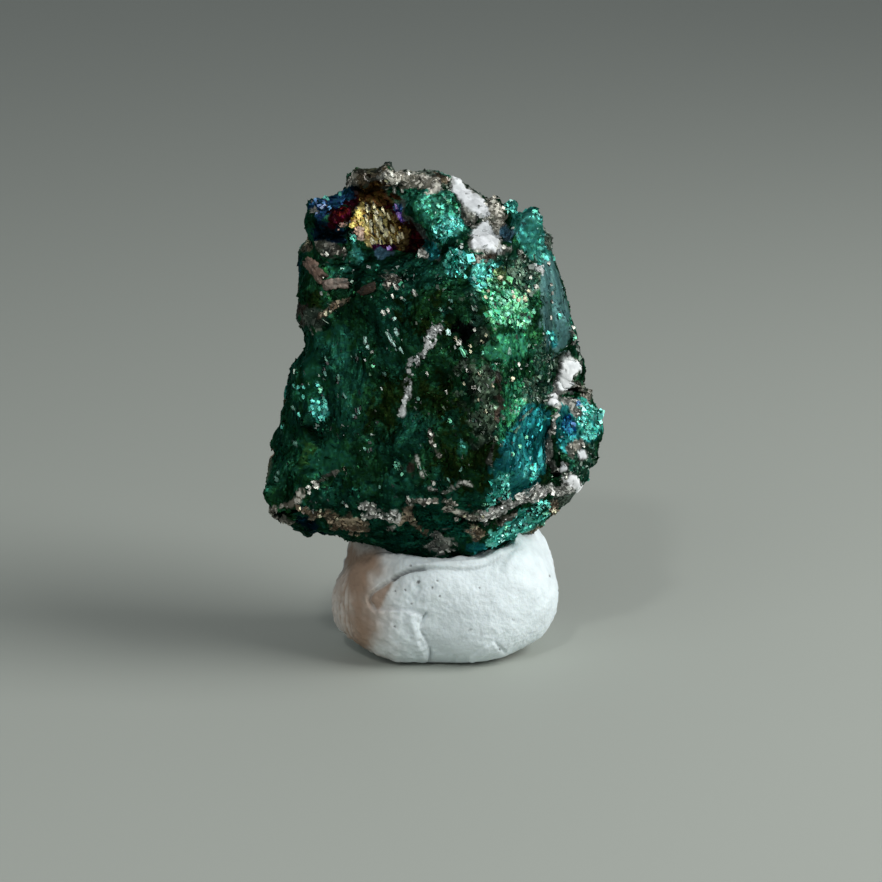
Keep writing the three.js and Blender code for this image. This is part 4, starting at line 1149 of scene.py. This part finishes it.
def make_long_grains(tree, material):
    """The three long grains, which lie along the skin."""
    ball = bmesh.new()
    bmesh.ops.create_icosphere(ball, subdivisions=5, radius=1.0)
    directions = np.array([vertex.co for vertex in ball.verts])
    faces = np.array([[vertex.index for vertex in face.verts] for face in ball.faces])
    ball.free()
    blocky = directions / (np.abs(directions) ** 4).sum(1, keepdims=True) ** 0.25
    pieces, tints = [], []
    for n, (pixel, length, width, lean, colour) in enumerate(SHOWN_LONG_GRAINS):
        towards_end = GRAIN_SPAN / 2 * length * pixel_way(lean)
        spot, normal = place_at(tree, np.array(pixel))
        along = place_at(tree, pixel + towards_end)[0] - place_at(tree, pixel - towards_end)[0]
        slope = along @ TO_CAMERA
        along -= slope * TO_CAMERA
        steepest = GRAIN_SLOPE * np.linalg.norm(along)
        along += np.clip(slope, -steepest, steepest) * TO_CAMERA
        long = np.linalg.norm(along) / GRAIN_SPAN
        along /= np.linalg.norm(along)
        face = TO_CAMERA + 0.3 * normal
        face -= along * (face @ along)
        turn = frame_towards(face / np.linalg.norm(face), along)
        body = blocky * np.array([width / PIXELS_PER_MM, long, width / PIXELS_PER_MM]) / 2
        swell = 0.35 * smooth_noise(body + 9 * n, 0.6, 90) - 0.5 * grains(body + 9 * n, 0.35, 91)[0]
        pieces.append(spot + (body * (1.1 + swell)[:, None]) @ turn.T)
        shade = 0.7 + 0.35 * smooth_noise(pieces[-1], 0.4, 92) + 0.4 * smooth_noise(pieces[-1], 0.15, 93)
        tints.append(colour * shade[:, None])
    points = np.concatenate(pieces)
    triangles = np.concatenate([faces + n * len(directions) for n in range(len(pieces))])
    layers = {"tint": np.concatenate(tints), "finish": np.tile([0.05, 0.6, 0.1], (len(points), 1))}
    ride_ore(new_object("long_grains", points, triangles, material, layers))


# ---- Materials ----

CELL = 0.2  # mm between the tarnish's cells
EDGE_TINT = (0.45, 0.65, 0.6, 1.0)  # what the metal reflects where it is seen edge-on


def node_maker(material):
    """Returns a short way to add and link shader nodes."""
    material.use_nodes = True
    tree = material.node_tree
    tree.nodes.clear()

    def add(kind, inputs=None, **settings):
        node = tree.nodes.new(kind)
        for name, value in settings.items():
            setattr(node, name, value)
        for socket, value in (inputs or {}).items():
            if isinstance(value, bpy.types.NodeSocket):
                tree.links.new(value, node.inputs[socket])
            else:
                node.inputs[socket].default_value = value
        return node

    return add


def ore_material():
    """Tarnished metal, quartz and crust, in small cells that differ in hue and face different ways."""
    material = bpy.data.materials.new("tarnished_ore")
    add = node_maker(material)
    tint = add("ShaderNodeAttribute", attribute_name="tint").outputs["Color"]
    finish = add("ShaderNodeAttribute", attribute_name="finish").outputs["Vector"]
    parts = add("ShaderNodeSeparateXYZ", {0: finish})
    metal, rough, glitter = (parts.outputs[n] for n in range(3))
    place = add("ShaderNodeTexCoord").outputs["Object"]
    cells = add("ShaderNodeTexVoronoi", {"Vector": place, "Scale": 1 / (CELL * MM)}).outputs["Color"]
    numbers = add("ShaderNodeSeparateXYZ", {0: cells})

    # Tarnish changes colour from cell to cell.
    hue = add("ShaderNodeMapRange", {0: numbers.outputs[0], 3: 0.475, 4: 0.53}).outputs[0]
    light = add("ShaderNodeMapRange", {0: numbers.outputs[1], 3: 0.8, 4: 1.2}).outputs[0]
    shifted = add("ShaderNodeHueSaturation", {"Hue": hue, "Value": light, "Color": tint}).outputs[0]
    colour = add("ShaderNodeMix", {0: metal, 6: tint, 7: shifted}, data_type="RGBA").outputs[2]

    # Each cell is turned a little, more where the ore glitters.
    outward = add("ShaderNodeNewGeometry").outputs["Normal"]
    centred = add("ShaderNodeVectorMath", {0: cells, 1: (0.5, 0.5, 0.5)}, operation="SUBTRACT").outputs[0]
    turned = add("ShaderNodeVectorMath", {0: centred, "Scale": glitter}, operation="SCALE").outputs[0]
    both = add("ShaderNodeVectorMath", {0: outward, 1: turned}, operation="ADD").outputs[0]
    normal = add("ShaderNodeVectorMath", {0: both}, operation="NORMALIZE").outputs[0]
    spread = add("ShaderNodeMapRange", {0: numbers.outputs[2], 3: 0.7, 4: 1.3}).outputs[0]
    roughness = add("ShaderNodeMath", {0: rough, 1: spread}, operation="MULTIPLY").outputs[0]

    surface = add(
        "ShaderNodeBsdfPrincipled",
        {"Base Color": colour, "Metallic": metal, "Roughness": roughness, "Normal": normal},
    )
    surface.inputs["Specular Tint"].default_value = EDGE_TINT
    add("ShaderNodeOutputMaterial", {"Surface": surface.outputs[0]})
    return material


def putty_material():
    """Dull putty that lets a little light into its surface."""
    material = bpy.data.materials.new("putty")
    add = node_maker(material)
    tint = add("ShaderNodeAttribute", attribute_name="tint").outputs["Color"]
    place = add("ShaderNodeTexCoord").outputs["Object"]
    mottle = add("ShaderNodeTexNoise", {"Vector": place, "Scale": 900.0, "Detail": 6.0}).outputs["Fac"]
    light = add("ShaderNodeMapRange", {0: mottle, 1: 0.3, 2: 0.7, 3: 0.9, 4: 1.08}).outputs[0]
    colour = add("ShaderNodeHueSaturation", {"Value": light, "Color": tint}).outputs[0]
    grain = add("ShaderNodeTexNoise", {"Vector": place, "Scale": 4200.0, "Detail": 4.0}).outputs["Fac"]
    bump = add("ShaderNodeBump", {"Height": grain, "Strength": 0.7, "Distance": 0.0001}).outputs[0]
    rough = add("ShaderNodeMapRange", {0: mottle, 1: 0.3, 2: 0.7, 3: 0.65, 4: 0.85}).outputs[0]
    surface = add(
        "ShaderNodeBsdfPrincipled",
        {"Base Color": colour, "Roughness": rough, "Normal": bump, "Subsurface Weight": 0.08},
    )
    surface.inputs["Subsurface Radius"].default_value = (0.001, 0.0008, 0.0006)
    surface.inputs["Subsurface Scale"].default_value = 0.5
    add("ShaderNodeOutputMaterial", {"Surface": surface.outputs[0]})
    return material


# ---- The tack ----

PUTTY_LIGHT = srgb(224, 235, 237)
PUTTY_GREY = srgb(196, 190, 182)
PUTTY_BROWN = srgb(152, 128, 108)
# Dark colour for the specks, and for painted shade in the creases and along the folds' edge.
PUTTY_SPECK_AND_SHADE = srgb(70, 66, 62)
RIM_LIFT = 0.45  # the rim presses up against the ore
RIM_HEIGHTS = (6.3, 8.4)  # where it starts to rise and has risen

# fmt: off
# Where it shows in the photograph (pixels): the front lobe, which lies back behind the folds round it.
TACK_FRONT = [
    (516, 546), (500, 557), (487, 565), (470, 568), (440, 567), (410, 569), (396, 575), (380, 585),
    (367, 596), (368, 604), (376, 612), (396, 611), (410, 611), (424, 617), (420, 630), (428, 646),
    (431, 656), (426, 690), (580, 690), (580, 530),
]
FOLD_STEP = 0.34  # how far the folds stand out over the front lobe
# Each crease has its depth in mm, its half width at each end and its points; the deeper ones are painted
# darker, as painted shade.
TACK_CREASES = {
    "open fold": (0.5, (0.1, 1.8), [(424, 568), (413, 569), (406, 571), (398, 575), (392, 579)]),
    "flap": (0.2, (0.8, 0.8), [(390, 580), (380, 586), (370, 593), (367, 599), (370, 606), (376, 611)]),
    "crack": (0.25, (0.9, 0.7), [
        (426, 615), (421, 622), (420, 630), (425, 640), (430, 650), (430, 660), (425, 667),
    ]),
    "dent": (0.12, (2.5, 2.5), [(409, 600), (416, 592), (418, 588)]),
    "smear": (0.04, (3.0, 2.0), [(510, 550), (503, 560), (500, 570)]),
    "smear beside": (0.03, (2.5, 2.0), [(524, 552), (516, 562), (512, 572)]),
    "foot left": (0.1, (1.4, 1.4), [(456, 656), (452, 666)]),
    "pit row": (0.1, (1.2, 1.2), [(495, 642), (499, 647), (505, 652)]),
}
# Low ridges, in the same form.
TACK_RIDGES = {
    "lower right": (0.14, (2.5, 3.5), [(472, 659), (484, 651), (493, 646)]),
    "band": (0.12, (0.1, 2.2), [(404, 569), (430, 564), (460, 562), (484, 561), (500, 552)]),
    "lower left": (0.05, (3.0, 3.0), [(412, 616), (416, 632), (424, 648)]),
    "smear": (0.03, (2.5, 2.0), [(518, 550), (511, 560), (507, 572)]),
}
# The lobe at the lower left, which swells out.
TACK_LOBE = [
    (388, 615), (404, 613), (416, 619), (420, 630), (421, 642), (428, 652), (429, 661), (424, 670),
    (392, 670), (382, 640),
]
LOBE_HEIGHT = 0.16
# Small dark pits: radius and places.
TACK_SPECKS = {
    "large": (2.2, [(418, 582)]),
    "middling": (1.5, [(411, 566), (412, 604), (432, 588), (500, 650), (513, 620), (470, 630)]),
    "small": (1.1, [
        (394, 591), (395, 626), (440, 596), (497, 644), (480, 588), (437, 581), (405, 590), (550, 576),
    ]),
}
# A brown smudge at the left, and the brown flap beside the open fold.
TACK_SMUDGE = [
    (330, 540), (366, 546), (380, 562), (372, 590), (371, 612), (374, 644), (360, 662), (348, 640),
    (345, 590),
]
TACK_FLAP = [
    (395, 577), (392, 586), (384, 600), (381, 608), (376, 612), (368, 604), (367, 596), (380, 586),
]
# fmt: on
TACK_SHOULDER = np.array([330, 556])  # pixels: the rim is drawn in here, on the left
SHOULDER_REACH = (36, 6)  # pixels from there: where that starts and where it is full
SHOULDER_DEPTH = 0.6
PRINT_MIDDLE = np.array([-7.6, -2.4, 4.0])  # of the finger's print on the left
PRINT_RADIUS = 3.2
PRINT_EDGE = 1.0  # it fades out over this
PRINT_SQUEEZE = np.array([1.0, 1.3, 0.9])
PRINT_RIDGES = 90  # its ridges, counted all the way round
BACK_RIDGES = 46  # and those of the fainter prints behind


def lines_share(pixels, lines, edge):
    """Each line of a table like TACK_CREASES: its height and every point's share of it."""
    for height, half_widths, line in lines.values():
        yield height, ramp(line_distance(pixels, line, half_widths) + edge, 1.6, -0.8)


def tack_relief(skin, pixels, facing):
    """How far each point of the putty stands out, in mm, how dark it is painted by its dark specks and by
    painted shade in its creases and along the folds' edge, and its print's ridges.
    """
    points = skin.points
    wave = 1.6 * smooth_noise(points, 1.2, 164) + 0.7 * smooth_noise(points, 0.5, 168)
    rough = 0.4 + 0.6 * np.maximum(ramp(pixels[:, 0] + 8 * wave, 450, 410), 1 - facing)
    height = 0.07 * smooth_noise(points, 2.2, 161) + 0.05 * smooth_noise(points, 1.0, 162)
    height += rough * (0.06 * smooth_noise(points, 0.5, 163) + 0.06 * smooth_noise(points, 0.25, 169))
    from_front = outline_distance(pixels, TACK_FRONT) + 0.5 * wave
    inside = ramp(from_front, 1.0, -1.0)
    step = FOLD_STEP * ramp(pixels[:, 0], 530, 480) * (1 - 0.5 * ramp(pixels[:, 1], 600, 640))
    raised = 0.3 * (1 - inside) * np.exp(-np.maximum(from_front, 0) / 8)
    sunken = 0.7 * inside * np.exp(from_front / 14)
    step = step * (raised - sunken)
    height += facing * step
    dirt_and_shade = np.zeros(len(points))
    for depth, share in lines_share(pixels, TACK_CREASES, 0.5 * wave):
        height -= facing * depth * share
        # Painted shade: the deeper a crease, the darker it is painted.
        dirt_and_shade = np.maximum(dirt_and_shade, facing * share * ramp(depth, 0.1, 0.6))
    for tall, share in lines_share(pixels, TACK_RIDGES, 0.5 * wave):
        height += facing * tall * share
    height += facing * LOBE_HEIGHT * ramp(outline_distance(pixels, TACK_LOBE) + 0.5 * wave, 1.0, -5.0)
    for radius, places in TACK_SPECKS.values():
        for place in places:
            share = facing * ramp(np.linalg.norm(pixels - place, axis=1) + 0.3 * wave, radius, 0.4 * radius)
            height -= 0.08 * share
            dirt_and_shade = np.maximum(dirt_and_shade, share)
    around = np.arctan2(points[:, 1] - TACK_MIDDLE[1], points[:, 0] - TACK_MIDDLE[0])
    from_print = np.linalg.norm((points - PRINT_MIDDLE) * PRINT_SQUEEZE, axis=1)
    prints = ramp(from_print, PRINT_RADIUS, PRINT_RADIUS - PRINT_EDGE)
    pressed = ramp(smooth_noise(points, 1.0, 170), -0.7, -0.1)
    prints *= pressed * ramp(smooth_noise(points, 0.35, 171), -0.7, 0.2)
    ridge = np.sin(PRINT_RIDGES * around + 1.1 * wave)
    height += 0.09 * prints * ridge
    back_prints = (1 - facing) * ramp(smooth_noise(points, 4.0, 165), 0.0, 0.3)
    height += 0.04 * back_prints * np.sin(BACK_RIDGES * around + 2.2 * points[:, 2] + wave)
    # Painted shade just inside the folds' edge over the front lobe, where the fold overhangs it.
    shade = facing * 0.35 * inside * np.exp(np.minimum(from_front, 0) / 2.5) * ramp(pixels[:, 0], 520, 480)
    return height, np.maximum(dirt_and_shade, shade), prints * ridge


def make_tack():
    """The putty, with its folds, prints, dark specks and painted shade."""
    skin = Skin("tack")
    for _ in range(3):
        skin.halve()
        skin.smooth(2)
    normals = skin.normals()
    skin.points[:, 2] += RIM_LIFT * ramp(skin.points[:, 2], *RIM_HEIGHTS)
    pixels = photo_pixels(skin.points)
    facing = ramp(normals @ TO_CAMERA, -0.05, 0.15)
    shoulder = ramp(np.linalg.norm(pixels - TACK_SHOULDER, axis=1), *SHOULDER_REACH)
    skin.points = skin.points - normals * (SHOULDER_DEPTH * shoulder)[:, None]
    height, dirt_and_shade, ridges = tack_relief(skin, pixels, facing)
    skin.points = skin.points + normals * (height * ramp(skin.points[:, 2], 0.0, 0.6))[:, None]
    skin.points[:, 2] = np.maximum(skin.points[:, 2], 0.0)

    behind = 1 - facing
    mottle = np.zeros(len(skin.points))
    for channel, size in enumerate((1.0, 0.5, 0.25), 166):
        mottle += size * smooth_noise(skin.points, 1.6 * size, channel)
    tint = np.tile(PUTTY_LIGHT, (len(skin.points), 1))
    left = ramp(pixels[:, 0] + 8 * mottle, 415, 360) * facing + 0.35 * behind * ramp(mottle, 0.0, 0.6)
    smudge = facing * ramp(outline_distance(pixels, TACK_SMUDGE) + 7 * mottle, 9.0, -9.0)
    in_fold = ramp(outline_distance(pixels, TACK_FLAP) + mottle, 1.5, -3.0)
    smudge = np.maximum(smudge, 0.9 * facing * in_fold)
    smudge = np.maximum(smudge, 0.5 * behind * ramp(smooth_noise(skin.points, 3.0, 167), 0.3, 0.7))
    # Greyer towards the left of the front. The print's ridges are painted lighter and its furrows browner:
    # painted light and shade on the print. Last come the dark specks and the painted shade.
    coats = [
        (PUTTY_GREY, left),
        (PUTTY_BROWN, smudge),
        (PUTTY_GREY, 0.6 * np.maximum(ridges, 0)),
        (PUTTY_BROWN, 0.7 * np.maximum(-ridges, 0)),
        (PUTTY_SPECK_AND_SHADE, 0.85 * dirt_and_shade),
    ]
    for colour, share in coats:
        tint += share[:, None] * (colour - tint)
    layers = {"tint": tint}
    piece = new_object("tack_skin", skin.points, skin.triangles, putty_material(), layers, smooth=True)
    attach(piece, "root")
    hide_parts("tack")


# ---- The scene ----


def make_part(skin, wanted, name, material, layers, smooth):
    """A piece of the ore: the skin's triangles where wanted is true."""
    used, triangles = np.unique(skin.triangles[wanted], return_inverse=True)
    rows = {layer: row[used] for layer, row in layers.items()}
    piece = new_object(name, skin.points[used], triangles.reshape(-1, 3), material, rows, smooth[wanted])
    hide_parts("ore")
    ride_ore(piece)


def make_ore():
    """The skin in four parts, each with its loose crystals, and the glints and long grains."""
    material = ore_material()
    skin, paint, tint, streaks = make_ore_skin()
    layers = {"tint": tint, "finish": paint.layers["finish"]}
    middle = skin.points[skin.triangles].mean(1) - ORE_MIDDLE
    smooth = paint.layers["crystals"][skin.triangles[:, 0], 3] > 0.3
    in_front = ahead(middle) > 0
    high = middle[:, 2] > 0.5
    parts = {
        "front_top": in_front & high,
        "front_foot": in_front & ~high,
        "back_top": ~in_front & high,
        "back_foot": ~in_front & ~high,
    }
    tree = skin.tree()
    for seed, (name, wanted) in enumerate(parts.items()):
        make_part(skin, wanted, "ore_" + name, material, layers, smooth)
        make_crystals(skin, tree, paint, streaks, wanted, seed, "crystals_" + name, material)
    make_glints(tree, material)
    make_long_grains(tree, material)


def make_floor():
    """A plain, greenish grey floor."""
    bpy.ops.mesh.primitive_plane_add(size=6.0)
    floor = bpy.context.object
    floor.name = "floor"
    material = bpy.data.materials.new("floor")
    add = node_maker(material)
    surface = add("ShaderNodeBsdfPrincipled", {"Base Color": (0.37, 0.395, 0.355, 1.0), "Roughness": 0.7})
    add("ShaderNodeOutputMaterial", {"Surface": surface.outputs[0]})
    floor.data.materials.append(material)


def add_light(name, direction, distance_mm, size_mm, power):
    """A square lamp of a power in watts, in a direction from the ore's middle, facing it."""
    data = bpy.data.lights.new(name, "AREA")
    data.size = size_mm * MM
    data.energy = power
    lamp = bpy.data.objects.new(name, data)
    towards = Vector(direction).normalized()
    lamp.location = Vector(ORE_MIDDLE * MM) + towards * distance_mm * MM
    lamp.rotation_mode = "QUATERNION"
    lamp.rotation_quaternion = towards.to_track_quat("Z", "Y")
    bpy.context.scene.collection.objects.link(lamp)


def make_lights():
    """Soft studio light: a large key lamp, a fill, a small one for glints, and a pale surrounding."""
    add_light("key", KEY_WAY, 300, 200, 0.95)
    add_light("fill", (-0.6, -0.9, 0.6), 400, 260, 0.2)
    add_light("glint", (-0.25, -0.75, 0.75), 320, 24, 0.14)
    world = bpy.data.worlds.new("studio")
    world.use_nodes = True
    world.node_tree.nodes["Background"].inputs[0].default_value = (0.80, 0.85, 0.88, 1.0)
    world.node_tree.nodes["Background"].inputs[1].default_value = 0.28
    bpy.context.scene.world = world


def make_camera():
    """The camera, where the photograph's stood."""
    data = bpy.data.cameras.new("camera")
    data.sensor_width = SENSOR
    data.lens = FOCAL_PIXELS / PHOTO_SIZE * SENSOR
    data.clip_start = 0.01
    data.clip_end = 20.0
    camera = bpy.data.objects.new("camera", data)
    camera.location = EYE * MM
    camera.rotation_mode = "QUATERNION"
    camera.rotation_quaternion = Vector(TO_CAMERA).to_track_quat("Z", "Y")
    bpy.context.scene.collection.objects.link(camera)
    bpy.context.scene.camera = camera


make_ore()
make_tack()
make_floor()
make_lights()
make_camera()
bpy.context.scene.view_settings.view_transform = "Standard"
